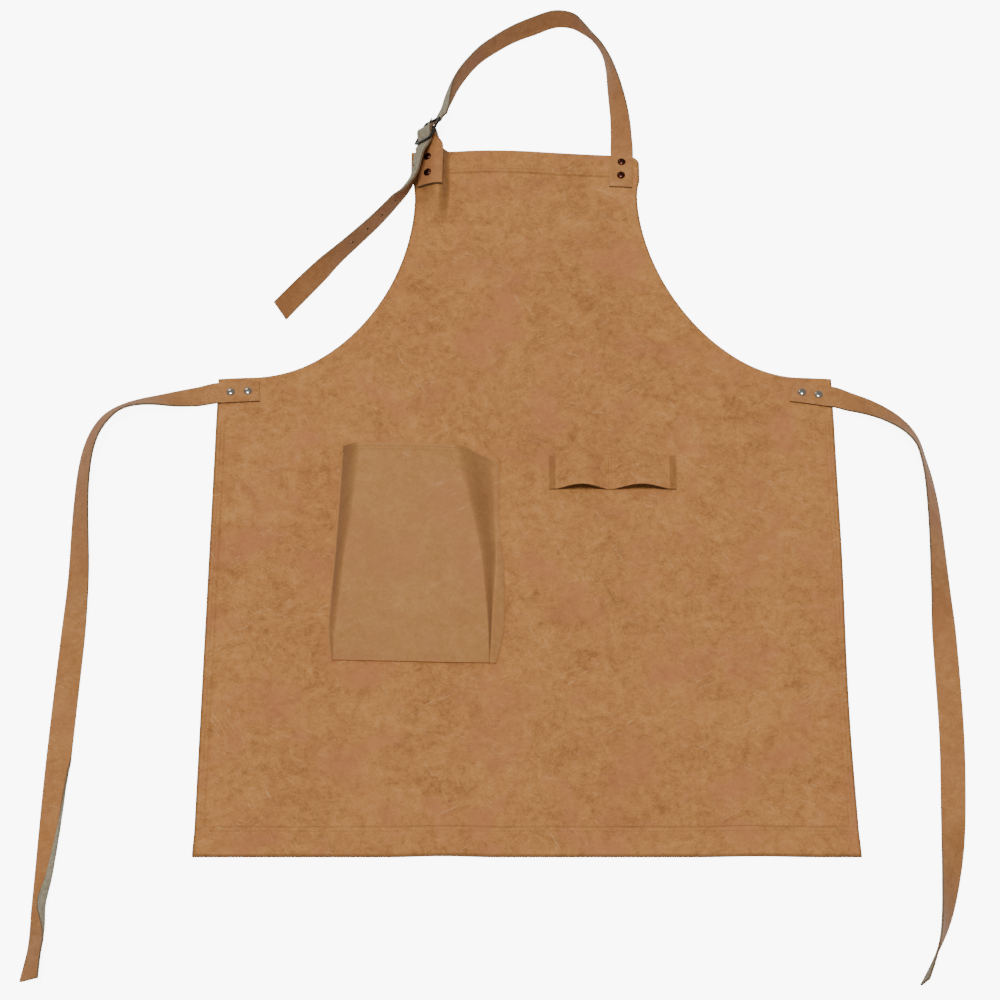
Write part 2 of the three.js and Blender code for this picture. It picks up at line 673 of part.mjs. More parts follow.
function postHoles(name) {
  return rivetPlaces(name).map((p) => rod(p, facingAt(p.x, p.y), rivet.postRadius + FIT_GAP, 60, 8));
}

// A rivet through the sheet and the layers of strap on it
function rivetSolid(place, layers) {
  const facing = facingAt(place.x, place.y);
  const backTop = -rivet.backGap;
  const seat = sheet.thickness * layersAt(place.x, place.y, sheet.seatRamp);
  const capBase = seat + layers + FIT_GAP;
  const profile = [
    [0, backTop - rivet.backThickness],
    [rivet.backRadius, backTop - rivet.backThickness],
    [rivet.backRadius, backTop],
    [rivet.postRadius, backTop],
    [rivet.postRadius, capBase],
    [rivet.capRadius, capBase],
    [rivet.capRadius * 0.92, capBase + rivet.capHeight * 0.5],
    [rivet.capRadius * 0.55, capBase + rivet.capHeight * 0.9],
    [0, capBase + rivet.capHeight],
  ];
  const geometry = new THREE.LatheGeometry(
    profile.map(([radius, height]) => new THREE.Vector2(radius, height)),
    rivet.sides,
  );
  const turn = new THREE.Quaternion().setFromUnitVectors(vector(0, 1, 0), facing);
  return geometry.applyQuaternion(turn).translate(place.x, place.y, place.z);
}

// The buckle and what passes through it

const buckleHeading = THREE.MathUtils.degToRad(buckle.heading);
const buckleLean = THREE.MathUtils.degToRad(buckle.roll);
const alongBuckle = vector(Math.cos(buckleHeading), Math.sin(buckleHeading));
const behindBuckle = vector(
  -Math.sin(buckleHeading) * Math.sin(buckleLean),
  Math.cos(buckleHeading) * Math.sin(buckleLean),
  Math.cos(buckleLean),
);
const acrossBuckle = behindBuckle.clone().cross(alongBuckle);
const buckleMiddle = vector(
  buckle.x,
  sheet.bibHeight + buckle.aboveBib,
  buckle.lift + (buckle.width / 2) * Math.abs(acrossBuckle.z) + (buckle.thickness / 2) * Math.abs(behindBuckle.z),
);

function inBuckle(along, across, behind) {
  return buckleMiddle
    .clone()
    .addScaledVector(alongBuckle, along)
    .addScaledVector(acrossBuckle, across)
    .addScaledVector(behindBuckle, behind);
}

function roundedRectangle(path, length, width, radius, middle) {
  const x = length / 2;
  const y = width / 2;
  path.moveTo(middle - x + radius, -y);
  path.lineTo(middle + x - radius, -y);
  path.quadraticCurveTo(middle + x, -y, middle + x, -y + radius);
  path.lineTo(middle + x, y - radius);
  path.quadraticCurveTo(middle + x, y, middle + x - radius, y);
  path.lineTo(middle - x + radius, y);
  path.quadraticCurveTo(middle - x, y, middle - x, y - radius);
  path.lineTo(middle - x, -y + radius);
  path.quadraticCurveTo(middle - x, -y, middle - x + radius, -y);
  return path;
}

function buckleFrame() {
  const window = (buckle.length - 2 * buckle.rail - buckle.bar) / 2;
  const trim = 2 * buckle.bevel;
  const shape = roundedRectangle(
    new THREE.Shape(),
    buckle.length - trim,
    buckle.width - trim,
    buckle.cornerRadius,
    0,
  );
  for (const side of [-1, 1]) {
    const middle = (side * (buckle.bar + window)) / 2;
    const width = buckle.width - 2 * buckle.rail + trim;
    shape.holes.push(roundedRectangle(new THREE.Path(), window + trim, width, 1, middle));
  }
  const geometry = new THREE.ExtrudeGeometry(shape, {
    depth: buckle.thickness - trim,
    bevelEnabled: true,
    bevelThickness: buckle.bevel,
    bevelSize: buckle.bevel,
    bevelSegments: 1,
    curveSegments: 3,
  });
  const basis = new THREE.Matrix4().makeBasis(alongBuckle, acrossBuckle, behindBuckle);
  return geometry
    .translate(0, 0, buckle.bevel - buckle.thickness / 2)
    .applyMatrix4(basis.setPosition(buckleMiddle));
}

// How far the strap bows to the buckle's back, by its distance from the middle bar: it runs behind the
// outer bars, and in front of the middle bar with the tab on it
function bowAt(along) {
  const distance = Math.abs(along);
  const outerBar = (buckle.length - buckle.rail) / 2;
  const back = buckle.thickness / 2 + 2 * FIT_GAP + strap.thickness / 2;
  const front = buckle.bar / 2 + 3 * FIT_GAP + tabStrap.thickness + strap.thickness / 2;
  if (distance > outerBar) return back * (1 - smooth((distance - outerBar - 1.5) / 22));
  return -front + ((back + front) * (1 - Math.cos((distance / outerBar) * Math.PI))) / 2;
}

// The prong: a ring on the middle bar, in the tab's slot, and a pin through the strap that rests on
// the outer bar on the arch's side
const ringRadius = buckle.bar / 2 + 2 * FIT_GAP;

function prongPin(clearance) {
  const start = inBuckle(-0.5, 0, -ringRadius - prong.ringThickness / 2);
  const end = inBuckle(-buckle.length / 2 - 0.5, 0, -buckle.thickness / 2 - FIT_GAP - prong.radius - 0.1);
  const axis = end.clone().sub(start);
  const middle = start.clone().add(end).multiplyScalar(0.5);
  return rod(middle, axis, prong.radius + clearance, axis.length() + 4 * clearance, prong.sides);
}

function buckleProng() {
  const outer = rod(buckleMiddle, acrossBuckle, ringRadius + prong.ringThickness, prong.ringWidth, 14);
  const inner = rod(buckleMiddle, acrossBuckle, ringRadius, 2 * prong.ringWidth, 14);
  return join([cut(outer, [inner]), cut(prongPin(0), [inner])]);
}

// The tab: two layers on the sheet, which part and go round the middle bar as one fold
function buckleTab() {
  const { from, to } = ends.buckle;
  const half = tabStrap.thickness / 2;
  const columns = [];
  for (let k = 0; k <= tabStrap.panels; k += 1) columns.push((k / tabStrap.panels - 0.5) * tabStrap.width);
  const onSheet = to.clone().sub(from).normalize();
  const toRight = onSheet.clone().cross(UP);
  const barAcross = acrossBuckle.clone().negate();
  const barAlong = buckleMiddle.clone().sub(vector(to.x, to.y, buckleMiddle.z));
  barAlong.addScaledVector(barAcross, -barAlong.dot(barAcross)).normalize();
  barAlong.applyAxisAngle(barAcross, THREE.MathUtils.degToRad(tabStrap.swing));
  const barFacing = barAcross.clone().cross(barAlong);
  const sheetPoint = (share, column) => {
    const drawnIn = tabStrap.pinch * bell(((1 - share) * tabs.buckle.length) / tabStrap.pinchReach);
    const across = column < 0 ? column * (1 - drawnIn) : column;
    const p = from.clone().lerp(to, share).addScaledVector(toRight, across);
    const facing = facingAt(p.x, p.y);
    p.z = topsideAt(p.x, p.y, sheet.seatRamp);
    return { facing, middle: p.addScaledVector(facing, tabStrap.seat + tabStrap.thickness + tabStrap.layerGap / 2) };
  };
  const apart = { sheet: half + tabStrap.layerGap / 2, bar: buckle.bar / 2 + 1.6 * FIT_GAP + half };
  const stations = [];
  const sheetSteps = Math.round(tabs.buckle.length / tabStrap.spacing);
  for (let k = 0; k <= sheetSteps; k += 1) {
    stations.push(columns.map((column) => ({ ...sheetPoint(k / sheetSteps, column), apart: apart.sheet })));
  }
  const freeSteps = 6;
  const reach = buckleMiddle.distanceTo(sheetPoint(1, 0).middle);
  for (let k = 1; k <= freeSteps; k += 1) {
    const t = k / freeSteps;
    stations.push(
      columns.map((column) => {
        const start = sheetPoint(1, column);
        const along = toRight.clone().cross(start.facing).negate();
        const end = buckleMiddle.clone().addScaledVector(barAcross, column);
        const middle = start.middle
          .clone()
          .multiplyScalar((1 - t) ** 2 * (1 + 2 * t))
          .addScaledVector(end, t * t * (3 - 2 * t))
          .addScaledVector(along, reach * t * (1 - t) ** 2)
          .addScaledVector(barAlong, -reach * t * t * (1 - t));
        const facing = start.facing.clone().lerp(barFacing, smooth(t)).normalize();
        return { middle, facing, apart: THREE.MathUtils.lerp(apart.sheet, apart.bar, smooth(t * 1.6 - 0.6)) };
      }),
    );
  }
  const rows = stations.map((row) =>
    row.map(({ middle, facing, apart: off }) => ({ p: middle.clone().addScaledVector(facing, -off), out: facing.clone().negate() })),
  );
  for (let k = 1; k < 8; k += 1) {
    const angle = (k / 8) * Math.PI;
    const out = barFacing.clone().multiplyScalar(-Math.cos(angle)).addScaledVector(barAlong, Math.sin(angle));
    rows.push(
      columns.map((column) => {
        const p = buckleMiddle.clone().addScaledVector(barAcross, column).addScaledVector(out, apart.bar);
        return { p, out };
      }),
    );
  }
  for (const row of [...stations].reverse()) {
    rows.push(row.map(({ middle, facing, apart: off }) => ({ p: middle.clone().addScaledVector(facing, off), out: facing })));
  }
  const outer = rows.map((row) => row.map(({ p, out }) => p.clone().addScaledVector(out, half)).reverse());
  const inner = rows.map((row) => row.map(({ p, out }) => p.clone().addScaledVector(out, -half)).reverse());
  const slot = rod(buckleMiddle, acrossBuckle, tabStrap.slotReach, tabStrap.slotWidth, 16);
  return cut(sheetSolid(outer, inner), [slot, ...postHoles("buckle")]);
}

// The neck strap: its riveted end, the arch, the way through the buckle and the tail
function neckStrap() {
  const { from, to } = ends.neck;
  const span = tabs.neck.edgeX - buckle.x;
  const archPoint = (at) => vector(
    to.x - valueAt(archRoute, at, "across") * span,
    to.y + valueAt(archRoute, at, "up") * ARCH_HEIGHT,
  );
  const last = archRoute.length - 1;
  const stations = endStations({ from, to });
  for (let i = 0; i < last; i += 1) {
    const parts = Math.ceil(archPoint(i).distanceTo(archPoint(i + 1)) / (strap.spacing * 0.7));
    for (let k = 0; k < parts; k += 1) {
      const at = i + k / parts;
      const ahead = archPoint(Math.min(at + 0.1, last)).sub(archPoint(Math.max(at - 0.1, 0)));
      const heading = (THREE.MathUtils.radToDeg(Math.atan2(ahead.y, ahead.x)) + 360) % 360;
      const { x, y } = archPoint(at);
      stations.push({ ...leanOn(archRoute, at), x, y, heading });
    }
  }
  const outer = 20;
  for (let along = -outer; along < outer; along += 2.8) {
    const { x, y } = inBuckle(along, 0, 0);
    stations.push({ ...tail.route[0], x, y, along });
  }
  stations.push(...routeStations(tail, buckleMiddle).filter((station) => station.along > outer - 1));
  for (const station of stations) {
    const distance = Math.hypot(station.x - buckleMiddle.x, station.y - buckleMiddle.y);
    station.level = buckleMiddle.z;
    station.held = 1 - smooth((distance - outer) / 50);
    station.bow = bowAt(station.along ?? distance);
    if (station.along === undefined) continue;
    station.settle = strap.tailSettle;
    station.hop = strap.tailHop * bell((station.along - 44) / 28);
  }
  const punches = [prongPin(FIT_GAP)];
  const measured = stations.filter((station) => station.along !== undefined);
  for (let k = 0; k < strapHoles.count; k += 1) {
    const along = strapHoles.first + k * strapHoles.pitch;
    const after = measured.findIndex((station) => station.along > along);
    const before = measured[after - 1];
    const share = (along - before.along) / (measured[after].along - before.along);
    punches.push(holeCutter(before, measured[after], share));
  }
  return cut(ribbon(stations, 1), [...postHoles("neck"), ...punches]);
}

// A cutter for a hole in the middle of the neck strap, between two of its stations
function holeCutter(before, after, share) {
  const [ahead, behind] = [before, after].map((station) => {
    const [face, back] = strapPoints(station, 1, [1, -1]).map((points) => points[strap.panels / 2]);
    return { middle: face.clone().add(back).multiplyScalar(0.5), axis: face.clone().sub(back).normalize() };
  });
  const middle = ahead.middle.lerp(behind.middle, share);
  const axis = ahead.axis.lerp(behind.axis, share);
  return rod(middle, axis, strapHoles.radius, 4 * strap.thickness, strapHoles.sides);
}

function waistStrap(name) {
  const stations = [...endStations(ends[name]), ...routeStations(waistStraps[name], ends[name].to)];
  return cut(ribbon(stations, waistStraps[name].side), postHoles(name));
}

// The pocket's front and gussets, as rows of cross sections up its height
function frontPocket() {
  const hemStart = 1 - pocket.hem / pocket.height;
  const shares = [0, 0.05, 0.1, 0.16, 0.23, 0.3, 0.39, 0.48, 0.58, 0.68, 0.77, 0.86, hemStart - 0.013, hemStart, 0.96, 1];
  const upper = [];
  const lower = [];
  for (const at of shares) {
    const row = (column) => valueAt(pocketRows, at, column);
    const [left, right] = [row("seamLeft"), row("seamRight")];
    const [frontLeft, frontRight] = [row("frontLeft"), row("frontRight")];
    const flange = Math.min(2.5, (frontLeft - left) / 2);
    const height = pocket.standOff * row("rise");
    const points = [[left, 0]];
    const add = (fromX, toX, parts, heightAt) => {
      for (let k = 1; k <= parts; k += 1) {
        points.push([THREE.MathUtils.lerp(fromX, toX, k / parts), height * heightAt(k / parts)]);
      }
    };
    points.push([left + flange, 0]);
    add(left + flange, frontLeft, 3, (t) => Math.sin((t * Math.PI) / 2));
    add(frontLeft, frontRight, 5, (t) => 1 + 0.06 * Math.sin(t * Math.PI));
    add(frontRight, row("foot"), 5, (t) => 1 - smooth(t));
    points.push([right - flange, 0]);
    points.push([right, 0]);
    const hem = smooth((at - hemStart + 0.013) / 0.013);
    const mouth = at ** 5;
    const pointAt = ([x, h], k, out) => {
      const before = points[Math.max(k - 1, 0)];
      const after = points[Math.min(k + 1, points.length - 1)];
      const normal = vector(before[1] - after[1], 0, after[0] - before[0]).normalize();
      const across = (x - left) / (right - left);
      const y = pocket.bottom + at * pocket.height + (mouth * pocket.mouthLean * h) / pocket.standOff;
      const corner = x < frontLeft ? mouth * pocket.cornerRise * (1 - h / height) : 0;
      const place = vector(x, y + corner - pocket.tilt * across);
      place.z = topsideAt(place.x, place.y) + LAY_GAP + pocket.thickness / 2 + h;
      return place.addScaledVector(normal, out);
    };
    upper.push(points.map((p, k) => pointAt(p, k, pocket.thickness * (0.5 + hem))));
    lower.push(points.map((p, k) => pointAt(p, k, -pocket.thickness / 2)));
  }
  return sheetSolid(upper, lower);
}

function toolLoops() {
  const spans = [
    [loops.left + loops.endLand, loops.middle - loops.middleLand],
    [loops.middle + loops.middleLand, loops.right - loops.endLand],
  ];
  const heights = [[loops.left, 0]];
  const parts = 12;
  for (const [start, end] of spans) {
    for (let k = 0; k <= parts; k += 1) {
      const t = k / parts;
      heights.push([THREE.MathUtils.lerp(start, end, t), loops.bulge * bell(2 * t - 1) ** 0.8]);
    }
  }
  heights.push([loops.right, 0]);
  const half = loops.thickness / 2;
  const grid = (out) => [0, 1 / 3, 2 / 3, 1].map((share) =>
    heights.map(([x, h], k) => {
      const before = heights[Math.max(k - 1, 0)];
      const after = heights[Math.min(k + 1, heights.length - 1)];
      const normal = vector(before[1] - after[1], 0, after[0] - before[0]).normalize();
      const y = loops.bottom + loops.height * share;
      return vector(x, y, topsideAt(x, y) + LAY_GAP + half + h).addScaledVector(normal, out);
    }),
  );
  return sheetSolid(grid(half), grid(-half));
}

// The assembly

const allHoles = Object.keys(ends).flatMap(postHoles);
const onStrap = LAY_GAP + strap.thickness;
const onTab = tabStrap.seat + 2 * tabStrap.thickness + tabStrap.layerGap;
const nodes = [
  ["apron_body", cut(bodySheet(), allHoles), leather],
  ["front_pocket", frontPocket(), leather],
  ["tool_loops", toolLoops(), leather],
  ["neck_strap", neckStrap(), leather],
  ["buckle_tab", buckleTab(), leather],
  ["buckle_frame", buckleFrame(), darkSteel],
  ["buckle_prong", buckleProng(), darkSteel],
  ["waist_strap_left", waistStrap("left"), leather],
  ["waist_strap_right", waistStrap("right"), leather],
];
const rivetNames = { left: "rivet_waist_left", right: "rivet_waist_right", neck: "rivet_neck", buckle: "rivet_buckle" };
for (const [name, title] of Object.entries(rivetNames)) {
  rivetPlaces(name).forEach((place, k) => {
    nodes.push([`${title}_${k + 1}`, rivetSolid(place, name === "buckle" ? onTab : onStrap), steel]);
  });
}

const apron = new THREE.Group();
apron.name = "apron";
for (const [name, geometry, material] of nodes) {
  const mesh = new THREE.Mesh(geometry, material);
  mesh.name = name;
  apron.add(mesh);
}

// The origin is the middle of the bounding box, on the floor
const box = new THREE.Box3().setFromObject(apron);
const middle = box.getCenter(vector(0, 0));
for (const mesh of apron.children) mesh.geometry.translate(-middle.x, -middle.y, -box.min.z);

export default apron;
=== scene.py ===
# %% [markdown]
# # A bib apron of tan nubuck-look leather, laid flat
# The apron lies on its back on a pale floor, with its straps spread out. Every piece is a thin skin of
# leather, so each one is built the same way: a grid of points for its face, the same grid for its back,
# and a rim that closes them. What makes it look like leather is the shape of those grids (hems, swells,
# straps that lean on their edges) and, at the end, one material for the face, one for the back and one
# for the cut edges. Shapes are worked out in millimetres on the apron: x from its centre line, y from
# the hem and z from the floor.

import math

import bmesh
import bpy
from mathutils import Matrix, Quaternion, Vector, noise


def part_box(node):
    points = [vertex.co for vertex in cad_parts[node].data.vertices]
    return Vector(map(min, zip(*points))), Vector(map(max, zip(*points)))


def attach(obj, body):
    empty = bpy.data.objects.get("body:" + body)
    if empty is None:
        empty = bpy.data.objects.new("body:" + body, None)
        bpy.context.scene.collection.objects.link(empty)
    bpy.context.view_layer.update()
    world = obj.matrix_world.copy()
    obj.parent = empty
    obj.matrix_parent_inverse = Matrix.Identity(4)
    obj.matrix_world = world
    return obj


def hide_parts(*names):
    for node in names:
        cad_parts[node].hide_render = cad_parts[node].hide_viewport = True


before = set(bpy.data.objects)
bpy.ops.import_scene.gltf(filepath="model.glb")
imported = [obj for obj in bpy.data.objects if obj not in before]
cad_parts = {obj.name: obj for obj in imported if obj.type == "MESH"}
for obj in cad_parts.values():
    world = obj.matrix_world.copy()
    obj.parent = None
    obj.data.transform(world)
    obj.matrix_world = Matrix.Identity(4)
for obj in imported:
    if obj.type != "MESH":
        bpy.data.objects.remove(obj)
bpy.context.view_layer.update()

# %% [markdown]
# ## The frame
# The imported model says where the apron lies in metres. Its body gives two facts: the hem's lower edge is
# the body's lowest y, and its left edge is half a skirt's width from the centre line. `in_scene` turns a
# place on the apron into one in the scene, and `put` adds a finished shape to the scene as an object.

# %% From millimetres on the apron to metres in the scene
MM = 0.001
SKIRT_HALF = 325.0
HEM_FLARE = 1.0
body_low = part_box("apron_body")[0]
CENTRE_X = body_low.x + (SKIRT_HALF + HEM_FLARE) * MM
HEM_Y = body_low.y


def in_scene(p):
    return Vector((CENTRE_X + p.x * MM, HEM_Y + p.y * MM, p.z * MM))


def put(name, data):
    made = bpy.data.objects.new(name, data)
    bpy.context.scene.collection.objects.link(made)
    return made


print("centre line at", round(CENTRE_X, 4), "hem at", round(HEM_Y, 4))

# %% [markdown]
# ## Curves through a few rows
# A maker notes a shape at a few places and lets the leather find its way between them. Here a table has
# a row for each place, and `value_at` runs a smooth curve through one of its columns.

# %% Tables and soft steps


def table(names, *rows):
    return [dict(zip(names.split(), row)) for row in rows]


def clamp(value, low=0.0, high=1.0):
    return max(low, min(high, value))


def mix(a, b, share):
    return a + (b - a) * share


def smooth(share):
    s = clamp(share)
    return s * s * (3 - 2 * s)


def bell(share):
    return math.cos(share * math.pi / 2) ** 2 if abs(share) < 1 else 0.0


def value_at(rows, at, column):
    last = len(rows) - 1
    places = [row.get("at", i) for i, row in enumerate(rows)]
    i = 0
    while i < last - 1 and at > places[i + 1]:
        i += 1

    def slope(k):
        before, after = max(k - 1, 0), min(k + 1, last)
        return (rows[after][column] - rows[before][column]) / (places[after] - places[before])

    step = places[i + 1] - places[i]
    t = clamp((at - places[i]) / step)
    rest = 1 - t
    return (
        rows[i][column] * rest * rest * (1 + 2 * t)
        + rows[i + 1][column] * t * t * (3 - 2 * t)
        + step * t * rest * (slope(i) * rest - slope(i + 1) * t)
    )


# %% [markdown]
# ## A skin of leather
# `skin` closes two grids of points into one solid. Rows follow each other away from the viewer and a row
# runs from left to right, which makes the face look up. Faces, backs and rims get their own material
# slots, and the rim's corners stay sharp, as on cut leather. Each point also keeps how far the leather
# leans there, and the finish paints shade from that: leaning leather is painted darker, standing in for
# the light that falls off on a slope. A piece can give its own `lean_at` instead, so that painted shade
# can be put along an edge and on a hidden step.

# %% Build a closed skin
SHARP_RIM = math.radians(42)


def grid_lean(grid, i, j):
    rows, columns = len(grid), len(grid[0])
    ahead = grid[min(i + 1, rows - 1)][j] - grid[max(i - 1, 0)][j]
    aside = grid[i][min(j + 1, columns - 1)] - grid[i][max(j - 1, 0)]
    facing = aside.cross(ahead)
    return math.hypot(facing.x, facing.y) / max(facing.length, 1e-9)


def skin(name, upper, lower, finishes, across=None, along=None, lean_at=None):
    rows, columns = len(upper), len(upper[0])
    points = [in_scene(p) for row in upper for p in row] + [in_scene(p) for row in lower for p in row]
    faces, slots = [], []

    def up(i, j):
        return i * columns + j

    def low(i, j):
        return (rows + i) * columns + j

    def quad(corners, finish):
        faces.append(corners)
        slots.append(finish)

    for i in range(rows - 1):
        for j in range(columns - 1):
            quad((up(i, j), up(i, j + 1), up(i + 1, j + 1), up(i + 1, j)), 0)
            quad((low(i, j), low(i + 1, j), low(i + 1, j + 1), low(i, j + 1)), 1)
        quad((up(i, 0), up(i + 1, 0), low(i + 1, 0), low(i, 0)), 2)
        quad((up(i, columns - 1), low(i, columns - 1), low(i + 1, columns - 1), up(i + 1, columns - 1)), 2)
    for j in range(columns - 1):
        quad((up(0, j), low(0, j), low(0, j + 1), up(0, j + 1)), 2)
        quad((up(rows - 1, j), up(rows - 1, j + 1), low(rows - 1, j + 1), low(rows - 1, j)), 2)
    mesh = bpy.data.meshes.new(name)
    mesh.from_pydata(points, [], faces)
    for finish in finishes:
        mesh.materials.append(finish)
    mesh.polygons.foreach_set("material_index", slots)
    mesh.polygons.foreach_set("use_smooth", [True] * len(faces))
    if across:
        places = [(across[j] * MM, along[i] * MM) for i in range(rows) for j in range(columns)] * 2
        layer = mesh.uv_layers.new(name="strip")
        for loop in mesh.loops:
            layer.data[loop.index].uv = places[loop.vertex_index]
    mesh.update()
    # The lean kept here drives painted shade in the leather finishes: leaning leather is painted darker.
    lean = mesh.attributes.new("lean", "FLOAT", "POINT")
    spots = [(i, j) for i in range(rows) for j in range(columns)]
    if lean_at:
        lean_for_shade = [lean_at(i, j) for i, j in spots] * 2
    else:
        lean_for_shade = [grid_lean(grid, i, j) for grid in (upper, lower) for i, j in spots]
    lean.data.foreach_set("value", lean_for_shade)
    mesh.set_sharp_from_angle(angle=SHARP_RIM)
    piece = put(name, mesh)
    print(name, rows, "rows of", columns, "leaning up to", round(max(lean_for_shade), 2))
    return piece


def finish_piece(piece, slot_name, *nodes):
    if nodes:
        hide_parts(*nodes)
    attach(piece, "root")
    return piece


# %% [markdown]
# ## Colours and nodes
# Leather colours are picked as screen colours, so one function turns a hex value to the linear light
# that a shader works in. A second one adds any node, sets its options and joins its inputs, so that a
# material reads as a list of what is laid on top of what.

# %% Two helpers for every material


def linear(hex_colour):
    channels = [int(hex_colour[i : i + 2], 16) / 255 for i in (1, 3, 5)]
    return [c / 12.92 if c <= 0.04045 else ((c + 0.055) / 1.055) ** 2.4 for c in channels] + [1.0]


def node(tree, kind, settings=None, **inputs):
    made = tree.nodes.new(kind)
    for name, value in (settings or {}).items():
        setattr(made, name, value)
    for name, value in inputs.items():
        numbered = name[0] == "_" and name[1:].isdigit()
        socket = made.inputs[int(name[1:]) if numbered else name.replace("_", " ")]
        if hasattr(value, "links") or isinstance(value, bpy.types.NodeSocket):
            tree.links.new(value, socket)
        else:
            socket.default_value = value
    return made


def tones(tree, factor, *stops):
    ramp = node(tree, "ShaderNodeValToRGB", Fac=factor)
    elements = ramp.color_ramp.elements
    while len(elements) < len(stops):
        elements.new(0.5)
    for element, (place, colour) in zip(elements, stops):
        element.position = place
        element.color = linear(colour) if isinstance(colour, str) else (colour, colour, colour, 1)
    return ramp.outputs["Color"]


def per_metre(size_mm):
    return 1000.0 / size_mm


def blank(name, roughness, metallic=0.0):
    material = bpy.data.materials.new(name)
    material.use_nodes = True
    shader = material.node_tree.nodes["Principled BSDF"]
    shader.inputs["Roughness"].default_value = roughness
    shader.inputs["Metallic"].default_value = metallic
    return material, material.node_tree, shader


# %% [markdown]
# ## Nubuck-look leather
# The face is a coated, lightly sanded leather: matt, with darker patches where the coat is rubbed, a few
# redder ones, and short pale scuffs that run any way. Four layers of noise make the mottling, from hand
# size down to two millimetres, each with its weight. Noise that is turned and stretched elevenfold gives
# the scuffs. Where the leather leans, shade is painted: the colour is mixed towards a dark brown, standing
# in for the light that falls off on a slope. The grain is finer than a pixel, so the bump is drawn about
# three times as coarse as it really is.

# %% The face of the leather
mottling = table(
    "size detail roughness warp weight",
    (110, 5.0, 0.6, 0.5, 0.16),
    (24, 5.0, 0.72, 1.0, 0.34),
    (7, 4.0, 0.75, 0.0, 0.3),
    (2.2, 2.0, 0.6, 0.0, 0.2),
)
scuff_layers = table("turn patch", (0.5, 34.0), (2.1, 34.0), (1.2, 27.2))
SCUFF_WIDTH, SCUFF_STRETCH = 1.5, 11.0
# The second colour is the dark brown of painted shade, mixed in where the leather leans.
SCUFF_COLOUR, LEAN_SHADE_COLOUR = "#d6a675", "#4a3010"
MOTTLE_SPREAD = 0.1


def nubuck(name, colours, contrast=1.0, scuffs=0.38, seed=0.0, nap_shade=0.5, nap_from=0.12):
    deep, main, pale, red = colours
    material, tree, shader = blank(name, 0.82)
    place = node(tree, "ShaderNodeTexCoord").outputs["Object"]

    def moved(**settings):
        return node(tree, "ShaderNodeMapping", **settings).outputs["Vector"]

    shifted = moved(Vector=place, Location=(seed, seed * 0.7, 0.0))
    elsewhere = moved(Vector=place, Location=(seed + 3.1, 1.7, 0.0))

    def noise_of(size_mm, detail=4.0, roughness=0.6, distortion=0.0, vector=shifted):
        made = node(
            tree,
            "ShaderNodeTexNoise",
            Vector=vector,
            Scale=per_metre(size_mm),
            Detail=detail,
            Roughness=roughness,
            Distortion=distortion,
        )
        return made.outputs["Fac"]

    def reckon(operation, a, b):
        return node(tree, "ShaderNodeMath", {"operation": operation}, _0=a, _1=b).outputs[0]

    def layered(factor, under, over):
        made = node(tree, "ShaderNodeMix", {"data_type": "RGBA"}, _0=factor, _6=under, _7=over)
        return made.outputs[2]

    together = 0.0
    for layer in mottling:
        grey = noise_of(layer["size"], layer["detail"], layer["roughness"], layer["warp"])
        together = reckon("ADD", reckon("MULTIPLY", grey, layer["weight"]), together)
    spread = MOTTLE_SPREAD / contrast
    colour = tones(tree, together, (0.5 - spread, deep), (0.5, main), (0.5 + spread, pale))
    red_mask = tones(tree, noise_of(60, 4.0, 0.6, 0.4, elsewhere), (0.48, 0.0), (0.66, 0.6))
    colour = layered(red_mask, colour, linear(red))
    for layer in scuff_layers:
        stretched = node(
            tree,
            "ShaderNodeMapping",
            {"vector_type": "TEXTURE"},
            Vector=shifted,
            Rotation=(0.0, 0.0, layer["turn"]),
            Scale=(1.0, SCUFF_STRETCH, 1.0),
        ).outputs["Vector"]
        lines = tones(tree, noise_of(SCUFF_WIDTH, 2.0, 0.5, 0.35, stretched), (0.63, 0.0), (0.70, 1.0))
        patches = tones(tree, noise_of(layer["patch"], 3.0, 0.6, 0.2, stretched), (0.50, 0.0), (0.62, 1.0))
        mask = reckon("MULTIPLY", lines, patches)
        colour = layered(reckon("MULTIPLY", mask, scuffs), colour, linear(SCUFF_COLOUR))
    lean = node(tree, "ShaderNodeAttribute", {"attribute_name": "lean"}).outputs["Fac"]
    # Painted shade: the more the leather leans, the further its colour is mixed towards the dark brown.
    lean_shade = tones(tree, lean, (nap_from, 0.0), (0.32, nap_shade * 0.6), (0.9, nap_shade))
    colour = layered(lean_shade, colour, linear(LEAN_SHADE_COLOUR))
    tree.links.new(colour, shader.inputs["Base Color"])
    relief = node(tree, "ShaderNodeBump", Strength=0.22, Distance=0.0006, Height=noise_of(1.6, 4.0, 0.7))
    relief = node(
        tree,
        "ShaderNodeBump",
        Strength=0.35,
        Distance=0.0012,
        Height=noise_of(12, 3.0, 0.55),
        Normal=relief.outputs["Normal"],
    )
    tree.links.new(relief.outputs["Normal"], shader.inputs["Normal"])
    shader.inputs["Specular IOR Level"].default_value = 0.32
    shader.inputs["Sheen Weight"].default_value = 0.12
    shader.inputs["Sheen Roughness"].default_value = 0.5
    return material


# The body's finish: strong mottling, as the widest piece shows it.
leather_face = nubuck("sanded coated leather, camel", ("#8f5d2f", "#af753c", "#c0854b", "#b06c45"))
# The pocket's finish: smoother and a shade greyer, with strong painted shade that darkens its sides as
# soon as they lean.
pocket_face = nubuck(
    "sanded coated leather, pocket",
    ("#9c6a38", "#ad7742", "#bb8550", "#ad7046"),
    contrast=0.7,
    scuffs=0.3,
    seed=5.3,
    nap_shade=0.44,
    nap_from=0.06,
)
